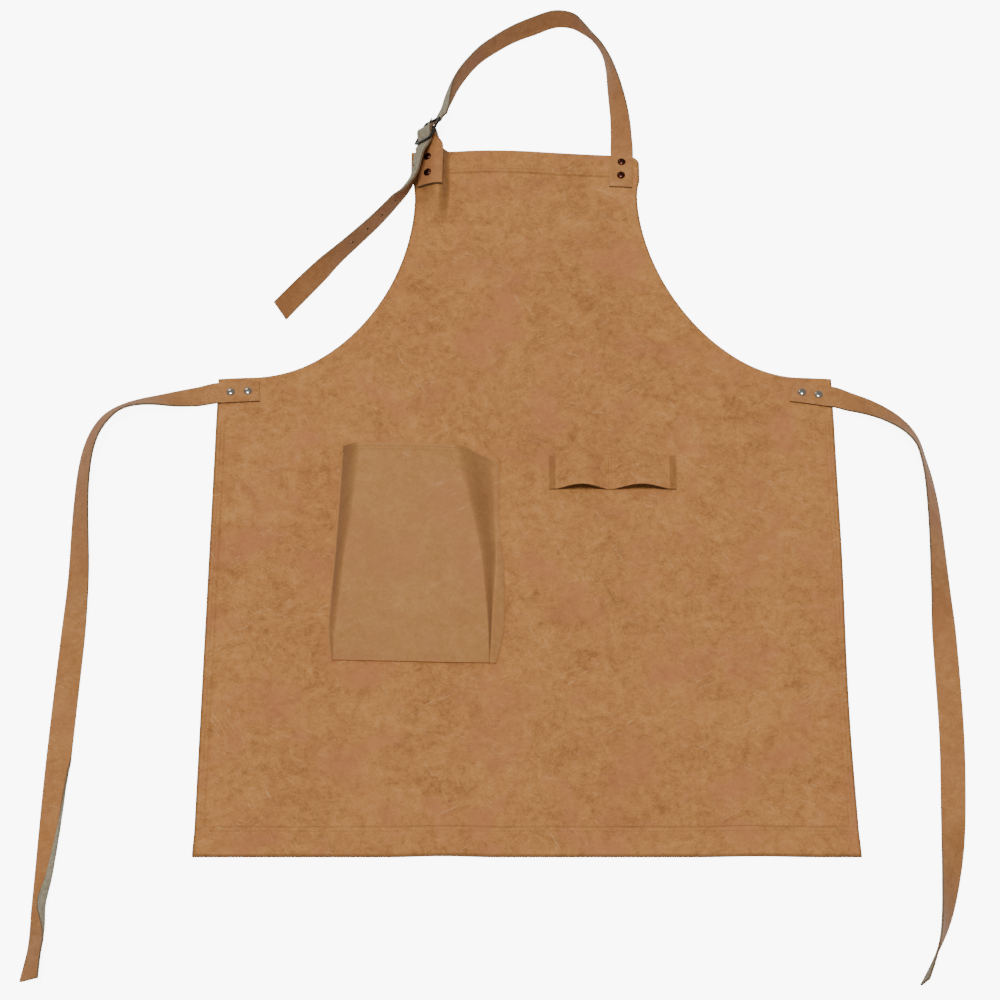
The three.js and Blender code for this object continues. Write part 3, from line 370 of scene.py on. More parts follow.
# The straps' finish: less mottled, and with little painted shade where a strap leans.
strap_face = nubuck(
    "sanded coated leather, straps",
    ("#94602f", "#aa723f", "#bd8450", "#a3683f"),
    contrast=0.8,
    scuffs=0.3,
    seed=9.1,
    nap_shade=0.18,
)
print("leather faces:", leather_face.name, pocket_face.name, strap_face.name)

# %% [markdown]
# ## Backs, cut edges and thread
# Such leather is a coat on a knitted backing. The back is a dull grey beige with a fine fuzz, and a cut
# edge shows the backing, darkened by the cutter. Thread is spun polyester, close to the face in colour.

# %% The other soft finishes


def plain_fibre(name, dark, light, size_mm, roughness=0.95):
    material, tree, shader = blank(name, roughness)
    place = node(tree, "ShaderNodeTexCoord").outputs["Object"]
    size = per_metre(size_mm)
    made = node(tree, "ShaderNodeTexNoise", Vector=place, Scale=size, Detail=5.0, Roughness=0.65)
    fuzz = made.outputs["Fac"]
    tree.links.new(tones(tree, fuzz, (0.35, dark), (0.65, light)), shader.inputs["Base Color"])
    relief = node(tree, "ShaderNodeBump", Strength=0.3, Distance=0.0005, Height=fuzz)
    tree.links.new(relief.outputs["Normal"], shader.inputs["Normal"])
    return material


leather_back = plain_fibre("knitted backing, grey beige", "#7f7561", "#a1967d", 3.0)
cut_edge = plain_fibre("cut edge of coated leather", "#5f4c36", "#7d654a", 2.0)
thread = plain_fibre("spun polyester thread", "#95673a", "#a97a4b", 1.0, 0.7)

# %% [markdown]
# ## Plated metal
# The rivet caps at the waist are nickel plate on steel, polished: they mirror the room, with one small
# light in it. The four on the bib are drawn in a dark red brown: a painted reflection, standing in for the
# dark room that they mirror. The buckle is die cast and plated in a dark grey. All are full metals and
# differ in colour and in how much the surface blurs what it mirrors.

# %% The metals


def plated(name, colour, roughness, wear_mm):
    material, tree, shader = blank(name, roughness, 1.0)
    shader.inputs["Base Color"].default_value = linear(colour)
    place = node(tree, "ShaderNodeTexCoord").outputs["Object"]
    wear = node(tree, "ShaderNodeTexNoise", Vector=place, Scale=per_metre(wear_mm), Detail=3.0)
    relief = node(tree, "ShaderNodeBump", Strength=0.08, Distance=0.0002, Height=wear.outputs["Fac"])
    tree.links.new(relief.outputs["Normal"], shader.inputs["Normal"])
    return material


nickel = plated("polished nickel plate", "#b8b2a8", 0.16, 2.0)
# Painted reflection: a dark red brown plate for the bib's rivets, standing in for the dark room they
# mirror.
dark_reflection_plate = plated("dark antique bronze plate", "#4a2a22", 0.3, 2.0)
gunmetal = plated("dark grey plated zinc casting", "#4a4742", 0.34, 3.0)

# %% [markdown]
# ## The sheet's outline
# The skirt and the bib are one sheet. Its sides run straight up to the waist, where a short flat land
# carries each strap. From there an armhole curves up to the bib: a quarter of a superellipse, which is
# the curve between a circle's quarter and a square corner. The two sides differ a little, because the
# sheet was laid down by hand.

# %% Sizes of the sheet
THICK = 1.7
WAIST, BIB_TOP = 548.0, 846.5
LAND, LAND_RISE, ARMHOLE_TOP = 33.0, 1.5, 784.0
BOTTOM_HEM, SIDE_HEM, TOP_HEM, HEM_RAMP, SIDE_HEM_TOP = 30.0, 8.0, 27.0, 3.0, 500.0
SEAT_RAMP, CORNER_ROUND = 12.0, 7.0
LEFT = {"sign": -1, "half": 120.0, "flare": 4.5, "round": 1.92, "inset": 0.0}
RIGHT = {"sign": 1, "half": 124.5, "flare": 3.0, "round": 1.79, "inset": 2.6}
INSET_AT, INSET_REACH = 160.0, 200.0
BIB_LEFT = -LEFT["half"] - LEFT["flare"]
BIB_RIGHT = RIGHT["half"] + RIGHT["flare"]
bib_top_drop = table(
    "at drop", (0, 2.5), (0.17, 1), (0.3, -1), (0.5, 0), (0.84, 7.2), (0.95, 8.8), (1, 12)
)


def bib_top_at(x):
    return BIB_TOP - value_at(bib_top_drop, clamp((x - BIB_LEFT) / (BIB_RIGHT - BIB_LEFT)), "drop")


def skirt_half_at(side, y):
    flare = HEM_FLARE * (1 - smooth(y / BOTTOM_HEM))
    return SKIRT_HALF + flare - side["inset"] * bell((y - INSET_AT) / INSET_REACH)


# %% [markdown]
# ## How the sheet lies
# It rests on the floor but for a few soft swells, the rivets' backs that hold it up at the waist, and one
# sharper ridge where the buckle tab pulls the bib's corner. Each swell is a long bell, turned to its own
# heading. A finer layer of noise, a third of a millimetre high, keeps the sheet from being a perfect
# plane; it fades out where another piece lies on it.

# %% Height of the sheet
swells = table(
    "x y heading along across height",
    (-0.8, 0.42, 80, 130, 45, 3.5),
    (-0.62, 0.15, 35, 160, 55, 4),
    (0.03, 0.33, 62, 150, 60, 3),
    (0.8, 0.36, 95, 170, 48, 3.5),
    (0.1, 0.8, 160, 110, 60, 3.5),
    (-0.25, 0.02, 85, 110, 55, 3),
    (0.68, 0.03, 100, 120, 60, 2.5),
)
RIDGE = {"height": 10.5, "from_edge": 31.0, "left": 29.0, "right": 12.0, "full": 44.0, "fade": 60.0}
PAD_HEIGHT, PAD_REACH = 2.6, 90.0
TABS = {
    "left": {
        "from": Vector((-280.5, WAIST - 16.5, 0)),
        "to": Vector((-SKIRT_HALF, WAIST - 19.2, 0)),
        "rivets": (12.4, 30.5),
    },
    "right": {
        "from": Vector((282, WAIST - 16.8, 0)),
        "to": Vector((SKIRT_HALF, WAIST - 24, 0)),
        "rivets": (11.1, 28.5),
    },
    "neck": {
        "from": Vector((106.2, bib_top_at(108.5) - 42, 0)),
        "to": Vector((108.5, bib_top_at(108.5), 0)),
        "rivets": (13.9, 31.6),
    },
    "buckle": {
        "from": Vector((-103.4, bib_top_at(-102.8) - 49, 0)),
        "to": Vector((-102.8, bib_top_at(-102.8), 0)),
        "rivets": (14.6, 35.0),
    },
}
pads = [(TABS[name]["from"] + TABS[name]["to"]) / 2 for name in ("left", "right", "neck")]
for swell in swells:
    swell["cos"] = math.cos(math.radians(swell["heading"]))
    swell["sin"] = math.sin(math.radians(swell["heading"]))


def underside_at(x, y):
    z = 0.0
    for swell in swells:
        dx, dy = x - swell["x"] * SKIRT_HALF, y - swell["y"] * BIB_TOP
        along = dx * swell["cos"] + dy * swell["sin"]
        across = dy * swell["cos"] - dx * swell["sin"]
        z += swell["height"] * bell(along / swell["along"]) * bell(across / swell["across"])
    for pad in pads:
        z += PAD_HEIGHT * bell(math.hypot(x - pad.x, y - pad.y) / PAD_REACH)
    below = max(BIB_TOP - RIDGE["full"] - y, 0) / RIDGE["fade"]
    beside = x - BIB_LEFT - RIDGE["from_edge"]
    reach = RIDGE["left"] if beside < 0 else RIDGE["right"]
    return z + RIDGE["height"] * bell(below) * bell(beside / reach)


def layers_at(x, y, ramp=HEM_RAMP):
    in_top = (y - bib_top_at(x) + TOP_HEM + ramp) / ramp
    in_bottom = (BOTTOM_HEM + ramp - y) / ramp
    in_side = (SIDE_HEM + ramp - skirt_half_at(LEFT if x < 0 else RIGHT, y) + abs(x)) / ramp
    return 1 + smooth(max(in_top, in_bottom, min(in_side, (SIDE_HEM_TOP - y) / ramp)) + 0.001)


def topside_at(x, y, ramp=HEM_RAMP):
    return underside_at(x, y) + THICK * layers_at(x, y, ramp)


def facing_at(x, y, step=3.0):
    slope_x = (underside_at(x + step, y) - underside_at(x - step, y)) / (2 * step)
    slope_y = (underside_at(x, y + step) - underside_at(x, y - step)) / (2 * step)
    return Vector((-slope_x, -slope_y, 1)).normalized()


# %% [markdown]
# ## The body
# Rows of points run from one side of the outline to the other, bowed at the armholes so that each row
# meets both edges at its own height. Near the edges the points keep their distance from the edge, so
# that the step of a hem stays crisp. The folded edge is rounded: the outermost points sit lower. The
# bib's right corner is cut round.

# %% Outline and rows


def outline(side):
    top_x = side["half"] + side["flare"]
    top_y = bib_top_at(side["sign"] * top_x) - TOP_HEM - HEM_RAMP
    land_x, land_y = SKIRT_HALF - LAND, WAIST + LAND_RISE
    points = []
    for k in range(101):
        y = mix(BOTTOM_HEM + HEM_RAMP, WAIST, k / 100)
        points.append((skirt_half_at(side, y), y))
    points += [(mix(SKIRT_HALF, land_x, k / 4), mix(WAIST, land_y, k / 4)) for k in range(1, 4)]
    for k in range(61):
        angle = k / 60 * math.pi / 2
        across = 1 - math.sin(angle) ** (2 / side["round"])
        up = 1 - math.cos(angle) ** (2 / side["round"])
        points.append((mix(side["half"], land_x, across), mix(land_y, ARMHOLE_TOP, up)))
    for k in range(1, 13):
        t = k / 12
        points.append((side["half"] + side["flare"] * smooth(t), mix(ARMHOLE_TOP, top_y, t)))
    return points


def row_places(left_half, right_half):
    near = [0, 0.8, 3, SIDE_HEM - 1.5, SIDE_HEM, SIDE_HEM + 1, SIDE_HEM + 2, SIDE_HEM + HEM_RAMP]
    ridge_places = [14, 17, 20, 23, 26, 28.5, 31, 33, 35, 37, 39, 41, 43, 46]
    left = [-left_half + d for d in near + ridge_places]
    inner_left = [left[-1] * (1 - k / 44) for k in range(1, 44)]
    right_start = right_half - near[-1]
    inner_right = [right_start * k / 52 for k in range(52)]
    return left + inner_left + inner_right + [right_half - d for d in reversed(near)]


def body_rows():
    left, right = outline(LEFT), outline(RIGHT)
    rows = []
    for y in (0, 0.8, 3, 8, 14, 20, 25, 28, BOTTOM_HEM, 31, 32, BOTTOM_HEM + HEM_RAMP):
        rows.append([(x, y) for x in row_places(skirt_half_at(LEFT, y), skirt_half_at(RIGHT, y))])
    lengths = [0.0]
    for a, b in zip(right, right[1:]):
        lengths.append(lengths[-1] + math.dist(a, b))
    top_y = bib_top_at(0) - TOP_HEM - HEM_RAMP
    for k in range(1, len(right)):
        middle_y = mix(right[0][1], top_y, lengths[k] / lengths[-1])
        straight = smooth((k - len(right) + 13) / 12)
        row = []
        for x in row_places(left[k][0], right[k][0]):
            end = left[k] if x < 0 else right[k]
            bowed = middle_y + (end[1] - middle_y) * (x / end[0]) ** 2
            row.append((x, mix(bowed, bib_top_at(x) - TOP_HEM - HEM_RAMP, straight)))
        rows.append(row)
    for below in (28.5, TOP_HEM + 1, TOP_HEM, 24, 18, 12, 7, 5, 3, 1.8, 0.8, 0.3, 0):
        into_corner = clamp(1 - below / CORNER_ROUND)
        cut_in = CORNER_ROUND * (1 - math.sqrt(1 - into_corner**2))
        rows.append([(x, bib_top_at(x) - below) for x in row_places(-BIB_LEFT, BIB_RIGHT - cut_in)])
    return rows


# %% Lift the rows into the leather


def unevenness(x, y):
    slow = noise.noise(Vector((x / 46, y / 60, 3.3)))
    quick = noise.noise(Vector((x / 17, y / 21, 8.1)))
    under_pocket = bell((x + 112) / 130) * bell((y - 330) / 170)
    free = 1 - smooth(1.6 * under_pocket)
    return free * (0.5 * slow + 0.16 * quick)


def body_solid():
    upper, lower = [], []
    for row in body_rows():
        top_row, low_row = [], []
        last = len(row) - 1
        for j, (x, y) in enumerate(row):
            near_side = min(j, last - j)
            dip = 0.6 if near_side == 0 or y <= 0 else 0.0
            z = topside_at(x, y) + max(unevenness(x, y), -0.3) * smooth(near_side / 6) - dip
            top_row.append(Vector((x, y, z)))
            low_row.append(Vector((x, y, underside_at(x, y))))
        upper.append(top_row)
        lower.append(low_row)
    return upper, lower


body_upper, body_lower = body_solid()


# Painted shade along the sheet's edges: the outermost two points of a row or column are painted as dark
# as if they leaned fully. The step of a hem across the sheet gets half its painted shade, and the narrow
# side hems none. Elsewhere the painted shade follows how far the underside leans.
EDGE_PAINTED_SHADE = (0.95, 0.8, 0.0)
HEM_STEP_PAINTED_SHADE, SIDE_HEM_POINTS = 0.5, 8


def body_painted_shade(i, j):
    to_side = min(j, len(body_upper[i]) - 1 - j)
    to_edge = min(to_side, i, len(body_upper) - 1 - i)
    hem_line = HEM_STEP_PAINTED_SHADE * grid_lean(body_upper, i, j) if to_side > SIDE_HEM_POINTS else 0.0
    return max(grid_lean(body_lower, i, j), hem_line, EDGE_PAINTED_SHADE[min(to_edge, len(EDGE_PAINTED_SHADE) - 1)])


body_finishes = [leather_face, leather_back, leather_face]
apron = skin("Apron_sheet", body_upper, body_lower, body_finishes, lean_at=body_painted_shade)
finish_piece(apron, "apron_leather", "apron_body")

# %% [markdown]
# ## Straps on their edges
# A strap is flat where it is riveted and where it was laid, but leans on to its edge where it turns, as a
# stiff strip does. So its cross section is worked out at each station: `roll` leans it, and for `turned`
# of its width it is folded over by the angle `turn`, which shows its back. The section is then lowered
# until it rests on what lies under it.

# %% Section of a strap and the ground under it
WIDTH, STRAP_THICK, BEND = 25.0, 2.2, 7.0
SETTLE, TAIL_SETTLE, TAIL_HOP = 26.0, 7.0, 3.5
LAY = 0.15
PANELS = 20


def ground_at(x, y, settle):
    inside_x = clamp(x, -SKIRT_HALF, SKIRT_HALF)
    inside_y = min(y, bib_top_at(x))
    past = math.hypot(x - inside_x, y - inside_y)
    if past >= settle:
        return 0.0
    return (topside_at(inside_x, inside_y, SEAT_RAMP) + LAY) * (1 - smooth(past / settle))


def strap_section(station, panels=PANELS):
    width = WIDTH / panels
    fold_at = station["turned"] * (WIDTH + BEND) - BEND / 2

    def lean_at(across):
        folded = smooth((fold_at - across) / BEND + 0.5)
        return math.radians(station["roll"] + station["turn"] * folded)

    points = [(0.0, 0.0)]
    for k in range(panels):
        lean = lean_at((k + 0.5) * width)
        points.append((points[k][0] + math.cos(lean) * width, points[k][1] - math.sin(lean) * width))
    middle = points[panels // 2]
    section = []
    for k, (n, z) in enumerate(points):
        lean = lean_at(clamp(k * width, width / 2, WIDTH - width / 2))
        section.append((n - middle[0], z - middle[1], math.sin(lean), math.cos(lean)))
    return section


def strap_points(station, side, outs):
    half = STRAP_THICK / 2
    bow, hop = station.get("bow", 0.0), station.get("hop", 0.0)
    held, level = station.get("held", 0.0), station.get("level", 0.0)
    drape, settle = station.get("drape", 0.0), station.get("settle", SETTLE)
    heading = math.radians(station["heading"])
    across = Vector((-math.sin(heading), math.cos(heading), 0)) * side
    section = strap_section(station)

    def place_of(p, out):
        n, z, face_n, face_z = p
        return Vector((station["x"], station["y"], z + face_z * out)) + across * (n + face_n * out)

    rest = -1e9
    for p in section[::2]:
        for out in (bow - half, bow + half):
            place = place_of(p, out)
            rest = max(rest, ground_at(place.x, place.y, settle) - place.z)
    raised = rest + hop + held * max(level - rest, 0)
    rows = []
    for out in outs:
        row = []
        for p in section:
            place = place_of(p, bow + out * half)
            place.z += mix(raised, ground_at(place.x, place.y, settle) + half, drape)
            row.append(place)
        rows.append(row)
    return rows


# %% [markdown]
# ## Stations along a strap
# Each route is a short table: how far along, which way it heads, how it leans. Walking along it in steps
# of a few millimetres gives the strap's true length, whatever way it curls.

# %% Walk along a route


def lean_on(route, at):
    return {
        "roll": value_at(route, at, "roll"),
        "turned": clamp(value_at(route, at, "turned")),
        "turn": value_at(route, at, "turn"),
    }


def route_stations(route, length, start, spacing=4.0):
    stations = []
    x, y = start.x, start.y
    count = round(length / spacing)
    for k in range(count + 1):
        at = k / count
        heading = value_at(route, at, "heading")
        stations.append(dict(lean_on(route, at), heading=heading, x=x, y=y, along=at * length))
        ahead = math.radians(value_at(route, min(at + 0.5 / count, 1), "heading"))
        x += math.cos(ahead) * length / count
        y += math.sin(ahead) * length / count
    return stations


def end_stations(name):
    start, stop = TABS[name]["from"], TABS[name]["to"]
    direction = stop - start
    heading = math.degrees(math.atan2(direction.y, direction.x))
    stations = []
    for share in (0, 0.02, 0.1, 0.2, 0.3, 0.4, 0.5, 0.6, 0.7, 0.78, 0.86):
        p = start.lerp(stop, share)
        stations.append(dict(x=p.x, y=p.y, heading=heading, roll=0, turned=0, turn=0, drape=1.0))
    return stations


def strap(name, stations, side, finishes):
    rows = [strap_points(station, side, (1, -1)) for station in stations]
    if side > 0:
        rows = [[list(reversed(points)) for points in pair] for pair in rows]
    along = [0.0]
    for a, b in zip(stations, stations[1:]):
        along.append(along[-1] + math.hypot(b["x"] - a["x"], b["y"] - a["y"]))
    across = [k * WIDTH / PANELS for k in range(PANELS + 1)]
    upper, lower = [row[0] for row in rows], [row[1] for row in rows]
    print(name, "is", round(along[-1]), "mm long")
    return skin(name, upper, lower, finishes, across, along), along[-1]


# %% [markdown]
# ## The waist straps
# Both leave the skirt's corners nearly flat, tip on to one edge as they turn down, lie flat for a while
# and tip again at their free ends. The left one is also folded over along part of its lower half, where
# a strip of its back shows.

# %% Routes of the waist straps
waist_routes = {
    "left": table(
        "at heading roll turned turn",
        (0, 187, 2, 0, 150),
        (0.025, 190, 8, 0, 150),
        (0.055, 191, 20, 0, 150),
        (0.09, 188, 40, 0, 150),
        (0.13, 203, 51, 0, 150),
        (0.165, 234, 50, 0, 150),
        (0.205, 255, 54, 0, 150),
        (0.245, 265.5, 54, 0, 150),
        (0.3, 270.5, 50, 0, 150),
        (0.377, 272.5, 37, 0, 150),
        (0.452, 268.8, 22, 0, 150),
        (0.52, 267.8, 6, 0, 150),
        (0.66, 268.2, 2, 0, 165),
        (0.71, 268.6, 5, 0.13, 165),
        (0.785, 269.2, 7, 0.21, 165),
        (0.856, 268.8, 14, 0.31, 150),
        (0.9, 267, 24, 0.4, 120),
        (0.935, 264, 44, 0.2, 90),
        (0.96, 263, 51, 0.03, 80),
        (1, 264, 41, 0, 80),
    ),
    "right": table(
        "at heading roll turned turn",
        (0, -14, 3, 0, 0),
        (0.025, -19, 11, 0, 0),
        (0.065, -28.5, 25, 0, 0),
        (0.109, -45, 41, 0, 0),
        (0.137, -61, 54, 0, 0),
        (0.165, -75, 67, 0, 0),
        (0.205, -82.2, 65, 0, 0),
        (0.25, -87, 58, 0, 0),
        (0.33, -89.7, 47, 0, 0),
        (0.41, -89.4, 31, 0, 0),
        (0.455, -89.5, 14, 0, 0),
        (0.525, -89.8, 3, 0, 0),
        (0.6, -91, 2, 0, 0),
        (0.68, -93.5, 4, 0, 0),
        (0.74, -94.5, 12, 0, 0),
        (0.792, -96.5, 26, 0, 0),
        (0.831, -98.5, 40, 0, 0),
        (0.87, -100, 54, 0, 0),
        (0.908, -104.5, 70, 0, 0),
        (0.946, -111, 88, 0, 0),
        (1, -116, 103, 0, 0),
    ),
}
WAIST_LENGTHS = {"left": 752.0, "right": 712.0}
WAIST_SIDES = {"left": -1, "right": 1}

# %% Make the waist straps
strap_finishes = [strap_face, leather_back, cut_edge]
for name in ("left", "right"):
    stations = end_stations(name)
    stations += route_stations(waist_routes[name], WAIST_LENGTHS[name], TABS[name]["to"])
    piece, length = strap(f"Strap_at_the_waist_{name}", stations, WAIST_SIDES[name], strap_finishes)
    finish_piece(piece, "strap_leather", f"waist_strap_{name}")

# %% [markdown]
# ## The buckle's place
# The buckle leans on the floor above the bib's left corner. Three directions describe it: along the
# strap, across it along the bars, and behind it. Everything at the buckle, the tab's fold, the prong and
# the strap's bow through the frame, is placed by them.

# %% Directions at the buckle
BUCKLE = {
    "heading": 247.5,
    "roll": 128.0,
    "lift": 3.3,
    "width": 31.0,
    "length": 32.0,
    "rail": 2.6,
    "bar": 2.6,
    "thick": 2.6,
}
FIT = 0.35
heading = math.radians(BUCKLE["heading"])
lean = math.radians(BUCKLE["roll"])
along_buckle = Vector((math.cos(heading), math.sin(heading), 0))
behind_buckle = Vector(
    (-math.sin(heading) * math.sin(lean), math.cos(heading) * math.sin(lean), math.cos(lean))
)
across_buckle = behind_buckle.cross(along_buckle)
half_width, half_thick = BUCKLE["width"] / 2, BUCKLE["thick"] / 2
buckle_z = BUCKLE["lift"] + half_width * abs(across_buckle.z) + half_thick * abs(behind_buckle.z)
buckle_middle = Vector((-106.6, BIB_TOP + 18, buckle_z))


def in_buckle(along, across, behind):
    return buckle_middle + along_buckle * along + across_buckle * across + behind_buckle * behind


# %% [markdown]
# ## The neck strap
# It is riveted at the bib's right corner, rises in an arch, goes through the buckle and ends in a free
# tail. Behind the frame's outer bars and in front of its middle bar, it bows a few millimetres out of its
# own plane.

# %% Routes of the neck strap
ARCH_HEIGHT, TAIL_LENGTH, TAB_THICK = 188.0, 287.0, 1.5
arch_route = table(
    "across up roll turned turn",
    (0, 0, 0, 0, 60),
    (0.001, 0.1, 24, 0, 60),
    (0.003, 0.19, 32, 0, 60),
    (0.01, 0.3, 43, 0, 60),
    (0.024, 0.42, 54, 0, 60),
    (0.042, 0.545, 68, 0, 60),
    (0.06, 0.65, 82, 0, 60),
    (0.092, 0.765, 97, 0, 60),
    (0.143, 0.863, 104, 0, 60),
    (0.187, 0.922, 97, 0, 60),
    (0.237, 0.973, 87, 0, 60),
    (0.3, 0.993, 82, 0, 60),
    (0.36, 0.985, 78, 0, 60),
    (0.442, 0.943, 76, 0, 60),
    (0.563, 0.873, 80, 0, 60),
    (0.695, 0.76, 83, 0, 65),
    (0.772, 0.665, 85, 0.02, 70),
    (0.848, 0.53, 82, 0.12, 75),
    (0.895, 0.41, 78, 0.27, 72),
    (0.928, 0.31, 76, 0.5, 60),
    (0.95, 0.235, 74, 0.85, 54),
)
tail_route = table(
    "at heading roll turned turn",
    (0, 247.5, 74, 1, 54),
    (0.07, 255, 74, 1, 50),
    (0.15, 257, 76, 0.7, 46),
    (0.25, 245.5, 82, 0.42, 48),
    (0.31, 237.5, 86, 0.3, 50),
    (0.35, 235.5, 87, 0.13, 50),
    (0.4, 233, 86, 0.02, 50),
    (0.46, 230.2, 84, 0, 50),
    (0.52, 228.4, 83, 0, 50),
    (0.64, 227.6, 78, 0, 50),
    (0.7, 228, 72, 0, 50),
    (0.76, 229.5, 61, 0, 50),
    (0.87, 230.5, 54, 0, 50),
    (1, 232, 52, 0, 50),
)


def bow_at(along):
    distance = abs(along)
    outer_bar = (BUCKLE["length"] - BUCKLE["rail"]) / 2
    back = BUCKLE["thick"] / 2 + 2 * FIT + STRAP_THICK / 2
    front = BUCKLE["bar"] / 2 + 3 * FIT + TAB_THICK + STRAP_THICK / 2
    if distance > outer_bar:
        return back * (1 - smooth((distance - outer_bar - 1.5) / 22))
    return -front + (back + front) * (1 - math.cos(distance / outer_bar * math.pi)) / 2


def neck_stations():
    foot = TABS["neck"]["to"]
    span = foot.x - buckle_middle.x
    last = len(arch_route) - 1

    def arch_point(at):
        across, up = value_at(arch_route, at, "across"), value_at(arch_route, at, "up")
        return Vector((foot.x - across * span, foot.y + up * ARCH_HEIGHT, 0))

    stations = end_stations("neck")
    for i in range(last):
        parts = math.ceil((arch_point(i) - arch_point(i + 1)).length / 4)
        for k in range(parts):
            at = i + k / parts
            ahead = arch_point(min(at + 0.1, last)) - arch_point(max(at - 0.1, 0))
            heading = math.degrees(math.atan2(ahead.y, ahead.x)) % 360
            p = arch_point(at)
            stations.append(dict(lean_on(arch_route, at), x=p.x, y=p.y, heading=heading))
    outer = 20.0
    for k in range(21):
        along = -outer + 2 * k
        p = in_buckle(along, 0, 0)
        stations.append(dict(tail_route[0], x=p.x, y=p.y, along=along))
    tail = route_stations(tail_route, TAIL_LENGTH, buckle_middle)
    stations += [station for station in tail if station["along"] > outer + 1]
    for station in stations:
        distance = math.hypot(station["x"] - buckle_middle.x, station["y"] - buckle_middle.y)
        station["level"] = buckle_middle.z
        station["held"] = 1 - smooth((distance - outer) / 50)
        station["bow"] = bow_at(station.get("along", distance))
        if "along" in station:
            station["settle"] = TAIL_SETTLE
            station["hop"] = TAIL_HOP * bell((station["along"] - 44) / 28)
    return stations


# %% [markdown]
# ## Punched holes
# The tail has seven round holes. A punch is a cylinder, set square to the strap at its middle, and a
# Boolean modifier takes it away. The wall of a hole shows the backing, as the cut edges do.

# %% Make the neck strap and punch it
neck_route = neck_stations()
neck, neck_length = strap("Strap_at_the_neck", neck_route, 1, strap_finishes)


def round_rod(name, middle, axis, radius, length, sides, finish):
    mesh = bpy.data.meshes.new(name)
    shape = bmesh.new()
    turn = Vector((0, 0, 1)).rotation_difference(axis.normalized()).to_matrix().to_4x4()
    matrix = Matrix.Translation(in_scene(middle)) @ turn
    bmesh.ops.create_cone(
        shape,
        cap_ends=True,
        segments=sides,
        radius1=radius * MM,
        radius2=radius * MM,
        depth=length * MM,
        matrix=matrix,
    )
    shape.to_mesh(mesh)
    shape.free()
    mesh.materials.append(finish)
    return put(name, mesh)


def apply_modifiers(piece):
    depsgraph = bpy.context.evaluated_depsgraph_get()
    mesh = bpy.data.meshes.new_from_object(piece.evaluated_get(depsgraph), depsgraph=depsgraph)
    piece.modifiers.clear()
    old = piece.data
    piece.data = mesh
    bpy.data.meshes.remove(old)


def cut_away(piece, cutters):
    for cutter in cutters:
        modifier = piece.modifiers.new("cut", "BOOLEAN")
        modifier.object = cutter
        modifier.operation = "DIFFERENCE"
        modifier.solver = "EXACT"
        modifier.material_mode = "TRANSFER"
    apply_modifiers(piece)
    for cutter in cutters:
        bpy.data.objects.remove(cutter)


def punches(stations, distances):
    measured = [station for station in stations if "along" in station]
    cutters = []
    for distance in distances:
        station = min(measured, key=lambda s: abs(s["along"] - distance))
        face, back = (points[PANELS // 2] for points in strap_points(station, 1, (1, -1)))
        cutters.append(round_rod("punch", (face + back) / 2, face - back, HOLE_RADIUS, 8, 20, cut_edge))
    return cutters


FIRST_HOLE, HOLE_SPACING, HOLE_RADIUS = 27, 24, 1.7
cut_away(neck, punches(neck_route, [FIRST_HOLE + HOLE_SPACING * k for k in range(7)]))
finish_piece(neck, "strap_leather", "neck_strap")
print("faces after punching:", len(neck.data.polygons))

# %% [markdown]
# ## The buckle tab
# A short strip, folded in two round the buckle's middle bar and riveted to the bib. Its middle line runs
# up the ridge, leaves the bib and swings up to the bar on a smooth cubic curve. Offsetting that line to
# both sides gives the two layers, and a half turn round the bar joins them.

# %% Make the buckle tab
TAB = {
    "width": 23.0,
    "seat": 1.0,
    "gap": 0.35,
    "pinch": 0.5,
    "pinch_reach": 34.0,
    "swing": 40.0,
    "length": 49.0,
}
TAB_PANELS, SEAT_STEPS, SWING_STEPS, TURN_STEPS = 14, 24, 18, 16


